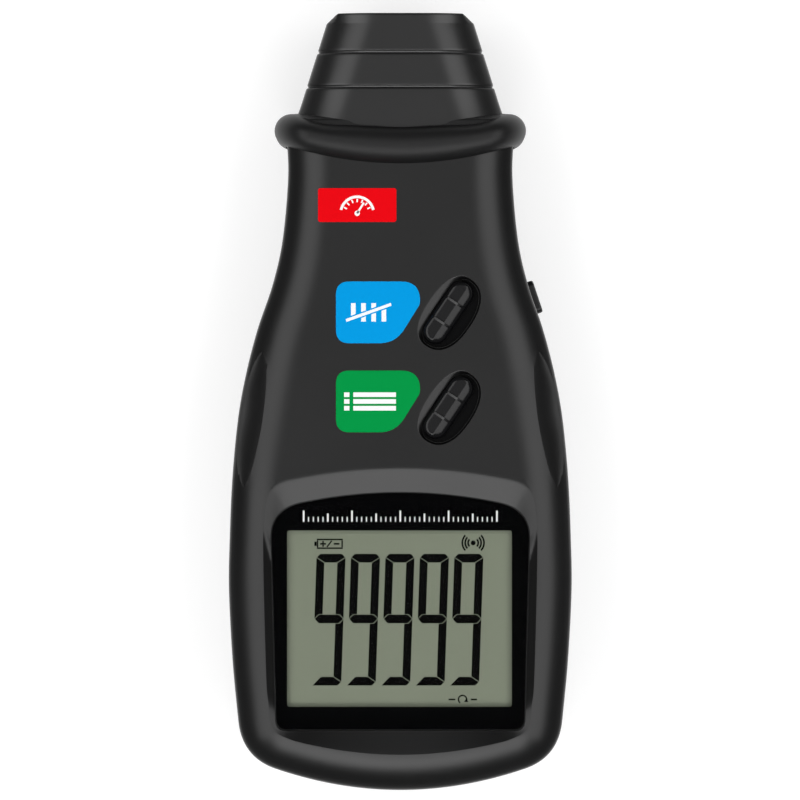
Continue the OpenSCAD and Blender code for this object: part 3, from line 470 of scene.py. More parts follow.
INNER = moulded("inner_plastic", (0.025, 0.025, 0.026), 0.5, grain=0.06)
BOARD = glossy("board_mask", (0.01, 0.11, 0.04), 0.35)
CHIP = moulded("chip_resin", (0.018, 0.018, 0.018), 0.55)
SLEEVE = glossy("battery_sleeve", (0.05, 0.06, 0.075), 0.3)
WIRE = moulded("wire_sleeve", (0.45, 0.03, 0.03), 0.42, grain=0.03)
CAN = glossy("capacitor_sleeve", (0.02, 0.035, 0.07), 0.35)
# Near-black sheet in the bottom of each key hollow: painted shade where the hollow lies in shadow
KEY_HOLLOW_SHADE = moulded("painted_hollow_shade", (0.0016, 0.0016, 0.0018), 0.5, grain=0.04, gloss=0.04)

# Case: places and sizes of its openings, posts and seats
OVERRUN = 1.0
SEAM = 0.14
# Panels: widths, rises, corner radii and ys, each at the top and at the foot
WINDOW_SHAPE = ((53.6, 51.2), (3.7, 0), (6, 2.3), (-18.9, -67.9))
RECESS_SHAPE = ((57.6, 55.5), (3.8, 4.6), (5.5, 4.0), (-13.75, -73.4))
WINDOW_PLAY = 0.2
WINDOW_Z = 31.4
RECESS_D = 1.6
RECESS_ROUND = 0.1
GENTLE_SLOPE = 0.38
GENTLE_TOP_Y = -34
GENTLE_LOW_Y = -60
GENTLE_X = 20.5
SLAB_RIM = 0.8
LEDGE_Z = 30.2
CELL_Y = -45.1
CELL_HOLE = (47.2, 37.2, 0.8)
CELL_HOLE_D = 1.5
LEAST_R = 0.5
BORE = ((41.6, 26.0), 6.0)    # size and corner radius, as in the other rounded sections
BORE_BACK = 39.0
KEY_TILT = 56.0
KEY_PLACES = [(9.9, 18.4), (9.9, -1.2)]
KEY_PAD = (19.2, 13.8)
KEY_PAD_Z = 31.3
KEY_HOLE = (15.2, 5.8)
KEY_HOLE_Z = 29.0
SIDE_KEY_Y = 21.5
SIDE_KEY_Z = 19.3
SIDE_HOLE = ((7.4, 8.4), 1.3)
BOSSES = [(18.89, 41.0), (-18.89, 41.0), (23.08, -70.0), (-23.08, -70.0)]
BOSS_R = 3.0
PILOT_R = 1.25
PILOT_TOP = 25.0
POSTS = [(22.01, -10.9), (-22.01, -10.9), (10.65, 36.0), (-10.65, 36.0)]
POST_R = 2.5
POST_Z = 24.6
SMALL_PILOT_R = 0.85
SMALL_PILOT_TOP = 30.6
DOOR_W = 32.8
DOOR_T = 1.8
DOOR_TOP_Y = -11.1
DOOR_PLAY = 0.1
RAIL_W = 1.1
RAIL_Z = 1.0
RAIL_WALL = 1.2
BAY_W = 27.7
BAY_LOW_Y = -70.0
BAY_TOP_Y = -13.1
BAY_CEILING = 20.0
BAY_WALL = 1.5
WIRE_HOLE_R = 3.4
WIRE_HOLE_DROP = 4.2
REAR_POST_R = 4.0
SCREW_HOLE_R = 1.6
SEAT_SECTION = [(-1.5, 4.2), (0.35, 3.0), (5.5, 3.0)]    # height over the back, radius


def soft_width(w):
    """Width over which the shoulder runs out into the face."""
    return 0.4 * w + 7.2


def shoulder_drop(d, w):
    """How far the shoulder lies below the face at a distance from the side, before its edge is rounded."""
    c = max(0.0, SHOULDER_CUT * (1 - d / w))
    return SHOULDER_RISE * w / SHOULDER_CUT * (1 - sqrt(1 - c * c))


def shoulder_profile(w, steps=ROUND_STEPS):
    """Distance from the side and drop below the face, from the side wall to the face."""
    edge, step, foot = 0.55, 0.05, 0.8
    first = shoulder_drop(edge, w)
    corner = first + edge * (first - shoulder_drop(edge + step, w)) / step
    points = [tuple(bezier([(0, corner + foot), (0, corner), (edge, first)], i / 4)) for i in range(4)]
    a0 = acos(SHOULDER_CUT * (1 - edge / w))
    for i in range(steps - 3):
        c = cos(a0 + (pi / 2 - a0) * i / (steps - 4))
        d = w * (1 - max(0.0, c) / SHOULDER_CUT)
        points.append((d, shoulder_drop(d, w)))
    return points


def inset_layer(half, d, z):
    """Half outline moved inwards by d to the height z. Both are one number, or one for each point."""
    moved = half[:, :2] + inward(half) * np.reshape(d, (-1, 1))
    return [(x, y, float(h)) for (x, y), h in zip(moved, np.broadcast_to(z, len(half)))]


def front_layers(half, inset, foot_z, seam=0.0):
    layers = [inset_layer(half, inset + seam, foot_z)] if seam else []
    layers.append(inset_layer(half, inset, foot_z + seam))
    profiles = np.array([shoulder_profile(soft_width(p[2])) for p in half])
    return layers + [
        inset_layer(half, inset + d, BODY_T - inset - fall) for d, fall in profiles.transpose(1, 2, 0)
    ]


def back_layers(half, inset, rim_z, seam=0.0):
    lift = np.array([back_z(y) for y in half[:, 1]])
    layers = []
    for i in range(ROUND_STEPS, -1, -1):
        a = pi / 2 * i / ROUND_STEPS
        z = lift + inset + HEEL_H * (1 - sin(a))
        layers.append(inset_layer(half, inset + HEEL_W * (1 - cos(a)), z))
    layers.append(inset_layer(half, inset, rim_z - seam))
    return layers + ([inset_layer(half, inset + seam, rim_z)] if seam else [])


def panel_ring(shape, grow, steps=12):
    """Outline of a panel, whose shape has pairs of values at its top and its foot."""
    (top_w, low_w), (rise, low_rise), (r, low_r), (top_y, low_y) = shape
    t, w = top_w / 2 + grow, low_w / 2 + grow
    top = lambda x: np.array((x, top_y + grow - rise * (x / t) ** 2))
    low = lambda x: np.array((x, low_y - grow + low_rise * (x / w) ** 2))
    side = (low(w) - top(t)) / np.linalg.norm(low(w) - top(t))
    start, end = top(t) + side * r, low(w) - side * low_r
    half = [top((t - r) * i / steps) for i in range(steps)]
    half += [bezier([top(t - r), top(t), start], i / steps) for i in range(steps + 1)]
    half += [start + (end - start) * i / (2 * steps) for i in range(1, 2 * steps)]
    half += [bezier([end, low(w), low(w - low_r)], i / steps) for i in range(steps + 1)]
    half += [low((w - low_r) * i / steps) for i in range(steps - 1, -1, -1)]
    return whole(half)


def soft_step(u, e):
    """Zero for negative u and u for positive u, with a rounding of width e between."""
    return (u + sqrt(u * u + e * e)) / 2


def reach(p, ring):
    """Shortest way from p to a closed ring."""
    a = np.array(ring)
    way = np.roll(a, -1, axis=0) - a
    share = np.clip(((np.array(p) - a) * way).sum(axis=1) / (way * way).sum(axis=1), 0, 1)
    return float(np.linalg.norm(a + way * share[:, None] - np.array(p), axis=1).min())


def recess_depth(p, rim):
    """Depth of the recess at a place on the window's edge: its wall is gentler round the corners."""
    top = smooth((p[1] - GENTLE_TOP_Y) / 6)
    low = smooth((GENTLE_LOW_Y - p[1]) / 4) * smooth((abs(p[0]) - GENTLE_X) / 3.5)
    gentle = min(RECESS_D, GENTLE_SLOPE * reach(p, rim))
    return RECESS_D + (gentle - RECESS_D) * max(top, low)


def recess_cutter():
    inner, outer = panel_ring(WINDOW_SHAPE, WINDOW_PLAY), panel_ring(RECESS_SHAPE, 0)
    depths = [recess_depth(p, outer) for p in inner]
    rings = []
    for u in (1, 0.8, 0.6, 0.45, 0.3, 0.2, 0.13, 0.07, 0.02, -0.03, -0.08, -0.14):
        share = soft_step(u, RECESS_ROUND) if u < 1 else 1
        rings.append([
            (a[0] + (b[0] - a[0]) * u, a[1] + (b[1] - a[1]) * u, BODY_T - depth * share)
            for a, b, depth in zip(outer, inner, depths)
        ])
    rings.append([(p[0], p[1], BODY_T + OVERRUN) for p in rings[-1]])
    return loft("recess_cut", rings)


BOWL_D = 1.5
BOWL_RIGHT_D = 0.5
BOWL_ROUND = 0.12
BOWL_RIM = (4.55, 5.35, 8.25)    # reach to the left and the right of the key, and along it
BOWL_FOOT = (3.0, 5.0, 7.9)
BOWL_CORNER = 2 / 2.35


def bowl_ring(left, right, half_l, n=72):
    """Egg-like outline in the key's own directions."""
    points = []
    for p in circle(1, n):
        c, s = (copysign(abs(v) ** BOWL_CORNER, v) for v in p)
        points.append((half_l * c, s * (left if s > 0 else right)))
    return points


def bowl_floor(inset):
    return bowl_ring(*(size - inset for size in BOWL_FOOT))


def bowl_cutter(centre):
    """Hollow round a key: a gentle slope on its left, a steep wall on its right and a drop to the dark sheet
    of painted shade.
    """
    rings = [[(*p, BODY_T - BOWL_D) for p in turned(bowl_floor(0.03), KEY_TILT, centre)]]
    for u in (1, 0.85, 0.7, 0.55, 0.4, 0.28, 0.18, 0.1, 0.03, -0.05, -0.12, -0.2):
        ring = []
        for p in bowl_ring(*(rim + (foot - rim) * u for rim, foot in zip(BOWL_RIM, BOWL_FOOT))):
            full = BOWL_D + (BOWL_RIGHT_D - BOWL_D) * smooth(p[1] / 3.4 + 0.1)
            ring.append((*turned([p], KEY_TILT, centre)[0], BODY_T - full * soft_step(u, BOWL_ROUND)))
        rings.append(ring)
    rings.append([(p[0], p[1], BODY_T + OVERRUN) for p in rings[-1]])
    return loft("bowl_cut", rings)


# Left finger hollow in plan: y, inner edge, outer edge
HOLLOW_EDGES = [
    (10.2, -28.3, -28.7), (9.0, -27.9, -29.5), (7.0, -27.65, -30.3), (4.5, -27.65, -31.2),
    (2.2, -27.8, -31.75), (0.0, -28.0, -32.05), (-2.0, -28.2, -32.3), (-4.3, -28.5, -32.75),
    (-6.3, -28.85, -33.1), (-8.5, -29.3, -33.35), (-10.5, -29.75, -33.45), (-12.8, -30.3, -33.45),
    (-14.8, -30.9, -33.3), (-16.5, -31.6, -33.0), (-17.6, -32.2, -32.6),
]
HOLLOW_STEPS = 36
HOLLOW_CROSS_STEPS = 12
HOLLOW_RUN_OUT = 1.3
HOLLOW_DEEPEN = (0.007, 0.245)    # everywhere, and how much more between the ends
HOLLOW_STEEP = 1.36


def hollow_cutter(side):
    """Finger hollow: steep along its inner edge, flatter outwards, until the shoulder falls below it."""
    ys, inner_xs, outer_xs = np.array(HOLLOW_EDGES).T
    rings = []
    for i in range(HOLLOW_STEPS + 1):
        t = i / HOLLOW_STEPS
        y = ys[0] + (ys[-1] - ys[0]) * (t - 0.1 * sin(2 * pi * t) / pi)
        inner, outer = float(np.interp(-y, -ys, inner_xs)), float(np.interp(-y, -ys, outer_xs))
        zi, zo = face_z(inner, y), face_z(max(outer, 0.05 - side_x(y)), y)
        run = inner - outer
        fall = zi - zo + HOLLOW_DEEPEN[0] + HOLLOW_DEEPEN[1] * max(0.0, sin(pi * t)) ** 0.7
        ring = [(inner + 0.02, zi + 0.03)]
        for k in range(1, HOLLOW_CROSS_STEPS + 1):
            u = k / HOLLOW_CROSS_STEPS
            ring.append((inner - run * u, zi - fall * u * (HOLLOW_STEEP - (HOLLOW_STEEP - 1) * u)))
        end = inner - run - HOLLOW_RUN_OUT
        ring.append((end, zi - fall - HOLLOW_RUN_OUT * (2 - HOLLOW_STEEP) * fall / run))
        ring += [(end, BODY_T + 4), (inner + 0.02, BODY_T + 4)]
        rings.append([(-side * x, y, z) for x, z in ring])
    return loft("hollow_cut", rings)


def side_turn():
    """Place and turn about Z of the side key: local +X leaves the case."""
    half = SIDE_CAP[0][0] / 2
    slope = (side_x(SIDE_KEY_Y - half) - side_x(SIDE_KEY_Y + half)) / (2 * half)
    return (side_x(SIDE_KEY_Y), SIDE_KEY_Y, SIDE_KEY_Z), degrees(atan(slope))


def bar_y(name, form, stops, z=NOSE_Z):
    """Rounded bar along Y. Each stop has its place along Y and the growth of the section."""
    return loft(name, [[(p[0], y, p[1] + z) for p in grown_rect(*form, grow)] for y, grow in stops])


def bar_x(name, form, stops):
    return loft(name, [[(x, *p) for p in grown_rect(*form, grow)] for x, grow in stops])


def pillars(name, r, places, z0, z1, n=32):
    return [prism(name, circle(r, n, p), z0, z1) for p in places]


def key_prisms(name, size, z0):
    return [prism(name, turned(slot_outline(*size), KEY_TILT, p), z0, BODY_T + OVERRUN) for p in KEY_PLACES]


def bore_form(name, grow, y0, y1):
    return bar_y(name, BORE, [(y0, grow), (y1, grow)])


def shared_cuts():
    """Cuts through both halves of the case: the nose's seat with its groove, and the side key's hole."""
    at, angle = side_turn()
    side_hole = place(bar_x("side_hole", SIDE_HOLE, [(-5.0, 0), (6.0, 0)]), angle, at)
    return [bore_form("bore", 0, 38.95, 56.5), bore_form("bore_groove", 0.9, 50.4, 51.8), side_hole]


def front_shell():
    top = BODY_T + OVERRUN
    body = mirrored_loft("case_front_shell", front_layers(HALF, 0, SPLIT_Z, SEAM))
    room = mirrored_loft("front_room", front_layers(clipped_half(BORE_BACK), WALL, SPLIT_Z - OVERRUN))
    fill = [prism("slab", panel_ring(RECESS_SHAPE, SLAB_RIM), LEDGE_Z, top)]
    fill += key_prisms("pad", KEY_PAD, KEY_PAD_Z)
    fill += pillars("boss", BOSS_R, BOSSES, 0, top) + pillars("post", POST_R, POSTS, POST_Z, top)
    boolean(room, fill)
    cell = round_rect(*CELL_HOLE, 4, (0, CELL_Y))
    cuts = [
        room, *shared_cuts(), recess_cutter(),
        prism("window_hole", panel_ring(WINDOW_SHAPE, WINDOW_PLAY), WINDOW_Z, top),
        prism("cell_hole", cell, LEDGE_Z - CELL_HOLE_D, WINDOW_Z + OVERRUN),
    ]
    cuts += [bowl_cutter(p) for p in KEY_PLACES] + key_prisms("key_hole", KEY_HOLE, KEY_HOLE_Z)
    cuts += [hollow_cutter(-1), hollow_cutter(1)]
    cuts += pillars("pilot", PILOT_R, BOSSES, SPLIT_Z - OVERRUN, PILOT_TOP, 24)
    cuts += pillars("small_pilot", SMALL_PILOT_R, POSTS, POST_Z - OVERRUN, SMALL_PILOT_TOP, 20)
    boolean(body, cuts)
    return body


def door_block(name, play):
    """Space of the battery door with its two rails, run out past the tail."""
    w = DOOR_W / 2 + play
    r = w + RAIL_W
    z0, z1 = RAIL_Z - play, DOOR_T + play
    section = [(-w, -OVERRUN), (w, -OVERRUN), (w, z0), (r, z0), (r, z1), (-r, z1), (-r, z0), (-w, z0)]
    return along_y(name, section, TAIL_Y - OVERRUN, DOOR_TOP_Y + play)


def screw_seat(p):
    return stack("seat", [(circle(r, 40, p), back_z(p[1]) + z) for z, r in SEAT_SECTION])


def back_shell():
    body = mirrored_loft("case_back_shell", back_layers(HALF, 0, SPLIT_Z, SEAM))
    room = mirrored_loft("back_room", back_layers(clipped_half(BORE_BACK), WALL, SPLIT_Z + OVERRUN))
    rails, rails_top = DOOR_W / 2 + RAIL_W + RAIL_WALL, DOOR_TOP_Y + RAIL_WALL
    cover = BAY_W / 2 + BAY_WALL
    cover_top = (cover, BAY_TOP_Y + BAY_WALL, BAY_CEILING + BAY_WALL)
    boolean(room, pillars("rear_post", REAR_POST_R, BOSSES, -OVERRUN, BODY_T) + [
        block("door_cover", (-rails, TAIL_Y - OVERRUN, -OVERRUN), (rails, rails_top, DOOR_T + RAIL_WALL)),
        block("bay_cover", (-cover, BAY_LOW_Y, -OVERRUN), cover_top),
    ])
    boolean(body, [room])
    boolean(body, [block("bay_box", (-cover, BAY_LOW_Y, SPLIT_Z - 2 * OVERRUN), cover_top)], "UNION")
    half = BAY_W / 2
    wire_hole = circle(WIRE_HOLE_R, 32, (0, BAY_CEILING - WIRE_HOLE_DROP))
    cuts = [
        *shared_cuts(), door_block("door_space", DOOR_PLAY),
        block("bay", (-half, BAY_LOW_Y + BAY_WALL, -OVERRUN), (half, BAY_TOP_Y, BAY_CEILING)),
        along_y("wire_hole", wire_hole, BAY_TOP_Y - OVERRUN, BAY_TOP_Y + 3 * OVERRUN),
    ]
    for p in BOSSES:
        hole_z = back_z(p[1]) - 2 * OVERRUN
        cuts += [screw_seat(p), prism("screw_hole", circle(SCREW_HOLE_R, 24, p), hole_z, BODY_T)]
    boolean(body, cuts)
    return body


GRIPS = 6
GRIP_L = 15.0
GRIP_PITCH = 2.0
GRIP_Y = TAIL_Y + 12.5
GRIP_SECTION = [(-0.6, 1.5), (0.0, 1.1), (0.35, 0.75), (0.5, 0.3)]    # height, width
ARROW = [(-4.2, 3.4), (0, -2.2), (4.2, 3.4)]
ARROW_Y = TAIL_Y + 30
ARROW_D = 0.45
CATCH = (9, 2.4)
CATCH_Y = DOOR_TOP_Y - 3.6
CATCH_D = 0.6


def door():
    body = mirrored_loft("battery_door_cover", back_layers(HALF, 0, SPLIT_Z))
    boolean(body, [door_block("door_form", 0.0)], "INTERSECT")
    cuts = []
    for i in range(GRIPS):
        grip = stack("grip_cut", [(slot_outline(GRIP_L + w, w, 6), z) for z, w in GRIP_SECTION])
        cuts.append(place(grip, 0, (0, GRIP_Y + GRIP_PITCH * i)))
    cuts.append(prism("arrow_cut", [(x, y + ARROW_Y) for x, y in ARROW], -OVERRUN, ARROW_D))
    cuts.append(prism("catch_cut", turned(slot_outline(*CATCH, 8), 0, (0, CATCH_Y)), -OVERRUN, CATCH_D))
    boolean(body, cuts)
    return body


# Nose and bead. A form has its half width, lowest z, highest z, and the radii in x and z of its lower
# and its upper corners
NECK_FORM = np.array([HALF[0][0], NECK_LIFT, BODY_T, HEEL_W, HEEL_H, 5.0, SHOULDER_H])
BASE_FORM = np.array([HALF[0][0] - 1, NECK_LIFT + 1, BODY_T - 1, 6.0, 7.0, 11.0, 8.0])
TIP_FORM = np.array([15.3, NOSE_Z - 11.5, NOSE_Z + 11.5, 6.0, 7.5, 10.8, 7.5])
TAPER_END = TIP_Y - 2.1
TAPER_L = TAPER_END - NECK_Y
NOSE_WALL = 1.8
GROOVE_SHARES = (0.564, 0.256)    # share of the taper that lies beyond each groove
# Place from the middle of a groove, growth
GROOVE_PROFILE = [
    (-0.9, 0), (-0.55, 0), (-0.38, -0.03), (-0.27, -0.12), (-0.2, -0.33), (-0.14, -0.36),
    (0.2, -0.2), (0.24, -0.16), (0.3, -0.06), (0.4, 0), (0.8, 0),
]
# y, extra half width at the nose's foot
FOOT_FLARE = [
    (NECK_Y, 0), (56.2, 0.42), (57, 0.34), (58, 0.23), (59, 0.13), (60, 0.055), (61, 0.015), (62.2, 0),
]
# Place from the end of the taper, narrowing, growth
TIP_PROFILE = [
    (0, 0.05, 0), (0.12, 0.18, 0), (0.8, 0.92, 0), (1.5, 1.68, 0), (1.8, 2.0, 0), (1.98, 2.2, -0.05),
    (2.07, 2.3, -0.15), (2.1, 2.3, -0.32),
]
FILTER_FORM = ((25.0, 18.0), 4.0)
EAR_X = 16.4
EAR_R = 2.4
BEAD_R = 3.55
BEAD_SWING = 3.0
BEAD_STEPS = 30
BEAD_ARC = (160, -2)    # degrees from the nose's side
BEAD_LEAD = 1.2
BEAD_SINK = 1.0
PINCH_X, PINCH_W = 16, 5
PINCH = 0.2
BEAD_GAP = 0.15
BEAD_LIP = 0.05


def quarter(x, z, r, start, grow):
    a = np.radians(start + 90 * np.arange(ROUND_STEPS + 1) / ROUND_STEPS)
    arc = np.stack([np.cos(a), np.sin(a)], axis=1)
    n = arc / r
    n /= np.linalg.norm(n, axis=1)[:, None]
    return [tuple(p) for p in (x, z) + arc * r + grow * n]


def between(p, q, flats=18):
    return [(p[0] + (q[0] - p[0]) * i / flats, p[1] + (q[1] - p[1]) * i / flats) for i in range(1, flats)]


def section(form, grow):
    """Ring of a nose or neck section: x and z, from the right side over the top."""
    half, low, high, lw, lh, uw, uh = form
    top, foot = ((uw, uh), high - uh), ((lw, lh), low + lh)
    ends = [(1, *top), (-1, *top), (-1, *foot), (1, *foot)]
    a, b, c, d = (quarter(s * (half - r[0]), z, r, 90 * k, grow) for k, (s, r, z) in enumerate(ends))
    return a + between(a[-1], b[0]) + b + c + between(c[-1], d[0]) + d


def soft_section(form, grow):
    """As section, with the soft shoulder of the case on its two upper corners."""
    raw = [np.array((form[0] - d, form[2] - fall)) for d, fall in shoulder_profile(form[5])]
    right = []
    for i, p in enumerate(raw):
        t = raw[min(len(raw) - 1, i + 1)] - raw[max(0, i - 1)]
        t /= np.linalg.norm(t)
        n = (1, 0) if i == 0 else (0, 1) if i == len(raw) - 1 else (t[1], -t[0])
        right.append((p[0] + grow * n[0], p[1] + grow * n[1]))
    left = [(-x, z) for x, z in reversed(right)]
    top = between(right[-1], left[0])
    return right + top + left + section(form, grow)[len(right + top + left):]


def nose_ring(y, grow, flare=0.0):
    u = (y - NECK_Y) / TAPER_L
    form = BASE_FORM * (1 - u) + TIP_FORM * u
    form[0] += flare
    return [(x, y, z) for x, z in soft_section(form, grow)]


def tip_ring(beyond, narrow, grow):
    form = TIP_FORM.copy()
    form[2] -= (BASE_FORM[2] - TIP_FORM[2]) * beyond / TAPER_L
    limit = TIP_FORM[0] - narrow + grow
    return [(max(-limit, min(limit, x)), TAPER_END + beyond, z) for x, z in soft_section(form, grow)]


def ears(name, r, y0, y1, n):
    return [along_y(name, circle(r, n, (x, NOSE_Z)), y0, y1) for x in (-EAR_X, EAR_X)]


def nose():
    rings = [nose_ring(y, 0, flare) for y, flare in FOOT_FLARE]
    for y in (TAPER_END - share * TAPER_L for share in GROOVE_SHARES):
        rings += [nose_ring(y + d, grow) for d, grow in GROOVE_PROFILE]
    rings += [nose_ring(TAPER_END - d, 0) for d in (0.8, 0.12)]
    rings += [tip_ring(*stop) for stop in TIP_PROFILE]
    body = loft("nose_shell", rings)
    boolean(body, [bore_form("skirt", -0.2, 47.5, 56.0), bore_form("skirt_rib", 0.7, 50.5, 51.7)], "UNION")
    boolean(body, [
        loft("hollow", [nose_ring(y, -NOSE_WALL) for y in (56.8, 62, 68, 74.9)]),
        bore_form("skirt_room", -2.2, 46.5, 57.8),
        bar_y("ledge_hole", FILTER_FORM, [(73.9, -0.4), (81.5, -0.4)]),
        bar_y("filter_hole", FILTER_FORM, [(77.8, 0.05), (80.2, 0.05)]),
        bar_y("filter_mouth", FILTER_FORM, [(80.1, 0.05), (80.4, 0.08), (80.55, 0.2)]),
    ])
    boolean(body, ears("boss", EAR_R, 47.5, 56.5, 32), "UNION")
    boolean(body, ears("boss_hole", SMALL_PILOT_R, 46.5, 55.5, 20))
    return body


def bead():
    """Bead round the neck. Its middle swings towards the tail on the front and the back."""
    swing = [1 - min(1.0, (p[0] / NECK_FORM[0]) ** 2) for p in section(NECK_FORM, 0)]
    middle = [NECK_Y + BEAD_LEAD - BEAD_SWING * v for v in swing]
    near = [1 - PINCH * exp(-((abs(p[0]) - PINCH_X) / PINCH_W) ** 2) for p in section(NECK_FORM, 0)]
    rings = []
    for k in range(BEAD_STEPS + 1):
        a = radians(BEAD_ARC[0] + (BEAD_ARC[1] - BEAD_ARC[0]) * k / BEAD_STEPS)
        rings.append([
            (p[0], m + BEAD_R * cos(a) * (w if cos(a) > 0 else 1 + PINCH * v), p[1])
            for p, m, w, v in zip(section(NECK_FORM, BEAD_R * sin(a) - BEAD_SINK), middle, near, swing)
        ])
    lip = NECK_Y + BEAD_LIP
    ends = [m + BEAD_R * w for m, w in zip(middle, near)]
    rings += [[nose_ring(y, BEAD_GAP)[i] for i, y in enumerate(ends)], nose_ring(lip, BEAD_GAP)]
    rings.append([(p[0], lip, p[1]) for p in section(NECK_FORM, BEAD_GAP)])
    return loft("neck_bead", rings, closed=True)


def filter_pane():
    stops = [(77.8, -0.12), (77.92, 0), (79.18, 0), (79.3, -0.12)]
    return bar_y("front_filter_pane", FILTER_FORM, stops)


# Keys
KEY_L, KEY_W = 14.8, 5.4
KEY_CREST = 36.0
KEY_SLOPE = 0.36
KEY_SLOPE_V = 0.45
KEY_EDGE_Z = 34.1
KEY_FOOT_Z = 31.2
KEY_STEPS = 24
KEY_SIDE_STEPS = 14
FLANGE = (16.4, 7.0)
FLANGE_ZS = (30.25, 31.25)
STEM_R = 1.9
STEM_ZS = (29.6, 30.5)
RIB_X = 2.467
RIB_STEPS = 30
# Place along the key from a rib's middle, height over the crown
RIB = [(-0.3, -0.4), (-0.26, 0.03), (0.2, 0.18), (0.26, 0.15), (0.28, -0.4)]
RIB_LINE = [(0.28, -0.35), (0.28, 0.6), (0.46, 0.6), (0.46, -0.35)]
# Hole and heights of the dark sheet of painted shade in each key hollow
SHADE_SHEET_HOLE = (15.0, 5.6)
SHADE_SHEET_ZS = (33.3, 33.52)
SIDE_CAP = ((7.0, 8.0), 1.2)
# x, growth
SIDE_CAP_STOPS = [
    (-3.8, 0.8), (-3.7, 0.9), (-2.7, 0.9), (-2.6, 0.8), (-2.55, 0), (0.9, 0), (1.2, -0.06), (1.34, -0.2),
    (1.4, -0.45), (1.36, -0.9), (1.2, -1.6), (1.1, -2.4),
]


def crown(v, q=None):
    """Height of a key's crown: level left of its crest, sloping on the right, rounded at its edge."""
    share = min(1.0, abs(v if q is None else q) / (KEY_W / 2))
    rise = KEY_CREST - KEY_EDGE_Z - KEY_SLOPE * max(0.0, -v - KEY_SLOPE_V)
    return KEY_EDGE_Z + rise * (1 - share ** 7) ** 0.6


def across_key(name, profile, side):
    rings = []
    for i in range(RIB_STEPS + 1):
        v = -(KEY_W / 2 - 0.12) * cos(pi * i / RIB_STEPS)
        rings.append([(side * RIB_X + u, v, crown(v) + rise) for u, rise in profile])
    return loft(name, rings)


def key(name, centre):
    outline = lambda w: slot_outline(KEY_L - KEY_W + w, w, KEY_STEPS, KEY_SIDE_STEPS)
    rings = [[(*p, z) for p in outline(KEY_W)] for z in (KEY_FOOT_Z, KEY_EDGE_Z)]
    for i in range(1, KEY_STEPS):
        q = KEY_W / 2 * cos(pi / 2 * i / KEY_STEPS)
        rings.append([(*p, crown(p[1], q)) for p in outline(2 * q)])
    body = loft(name, rings)
    boolean(body, [across_key("rib", RIB, s) for s in (-1, 1)], "UNION")
    boolean(body, [across_key("rib_line", RIB_LINE, s) for s in (-1, 1)])
    flange = prism("flange", slot_outline(*FLANGE, KEY_STEPS), *FLANGE_ZS)
    boolean(body, [flange, prism("stem", circle(STEM_R, 32), *STEM_ZS)], "UNION")
    return place(body, KEY_TILT, centre)


def hollow_shade_sheet(name, centre):
    """Near-black sheet in the bottom of the hollow round a key: painted shade in place of the shadow there.
    """
    body = prism(name, bowl_floor(0.08), *SHADE_SHEET_ZS)
    boolean(body, [prism("hole", slot_outline(*SHADE_SHEET_HOLE, KEY_STEPS), SHADE_SHEET_ZS[0] - 1, SHADE_SHEET_ZS[1] + 1)])
    return place(body, KEY_TILT, centre)


def side_key():
    body = bar_x("side_key_cap", SIDE_CAP, SIDE_CAP_STOPS)
    boolean(body, [loft("stem", [[(x, *p) for p in circle(STEM_R, 32)] for x in (-5.9, -3.6)])], "UNION")
    at, angle = side_turn()
    return place(body, angle, at)


# Display. Layers have their height and their growth
PANE_LAYERS = [(31.5, -0.06), (31.56, 0), (33.16, 0), (33.3, -0.06), (33.38, -0.18), (33.4, -0.3)]
CELL = (49.0, 39.0)
CELL_LAYERS = [(27.2, -0.1), (27.3, 0), (28.4, 0), (28.5, -0.1)]
UPPER_GLASS = (48.8, 37.8)
UPPER_LAYERS = [(28.4, 0), (29.7, 0), (29.8, -0.08), (30.0, -0.1)]
MASK_HOLE = (46.55, 36.52)
MASK_HOLE_AT = (-0.17, CELL_Y + 0.14)
MASK_ZS = (31.4, 31.46)
MARK_ZS = (30.0, 30.04)
DIGITS = 5
DIGIT_X = -17.79
DIGIT_PITCH = 7.14
DIGIT_W = 6.01
DIGIT_YS = (-58.84, -31.59)
DIGIT_MID = sum(DIGIT_YS) / 2 + 0.15
DIGIT_LEAN = 1.95
LEVEL_T, UPRIGHT_T = 1.77, 1.65
DIGIT_CUT = 0.7
DIGIT_GAP = 0.1
BATTERY_SIGN = (-17.3, -30.55, -11.9, -28.45)
SIGN_PEN = 0.3
BEAM_SIGN = (15.1, -29.3)
TURN_SIGN = (12.9, -61.75)
TICKS = 20
TICK_Y = -24.9
TICK_ZS = (31.465, 31.485)


def window_pane():
    return stack("window_glass", [(panel_ring(WINDOW_SHAPE, g), z) for z, g in PANE_LAYERS])


def window_mask():
    body = prism("window_mask", panel_ring(WINDOW_SHAPE, -0.03), *MASK_ZS)
    hole = round_rect(*MASK_HOLE, 0.5, 4, MASK_HOLE_AT)
    boolean(body, [prism("mask_hole", hole, MASK_ZS[0] - 1, MASK_ZS[1] + 1)])
    return body


def cell_plate(name, size, layers):
    outline = lambda g: round_rect(size[0] + 2 * g, size[1] + 2 * g, 0.4, 3, (0, CELL_Y))
    return stack(name, [(outline(g), z) for z, g in layers])


def lcd_panel():
    body = cell_plate("display_panel", CELL, CELL_LAYERS)
    boolean(body, [cell_plate("upper_glass", UPPER_GLASS, UPPER_LAYERS)], "UNION")
    return body


def flat_marks(name, outlines, z0, z1):
    """One piece of separate printed marks."""
    bm = bmesh.new()
    for outline in outlines:
        mark = prism("mark", outline, z0, z1)
        bm.from_mesh(mark.data)
        drop(mark)
    obj = make_object(name, [], [])
    bm.to_mesh(obj.data)
    bm.free()
    return obj


def stroke(p, q, w):
    p, q = np.array(p, float), np.array(q, float)
    d = (q - p) / np.linalg.norm(q - p)
    n = np.array((-d[1], d[0])) * w / 2
    return [tuple(v) for v in (p - n, q - n, q + n, p + n)]


def arc_stroke(centre, r, w, a0, a1, steps=28):
    arc = lambda r: [turned([(r, 0)], a0 + (a1 - a0) * i / steps, centre)[0] for i in range(steps + 1)]
    return arc(r + w / 2) + arc(r - w / 2)[::-1]


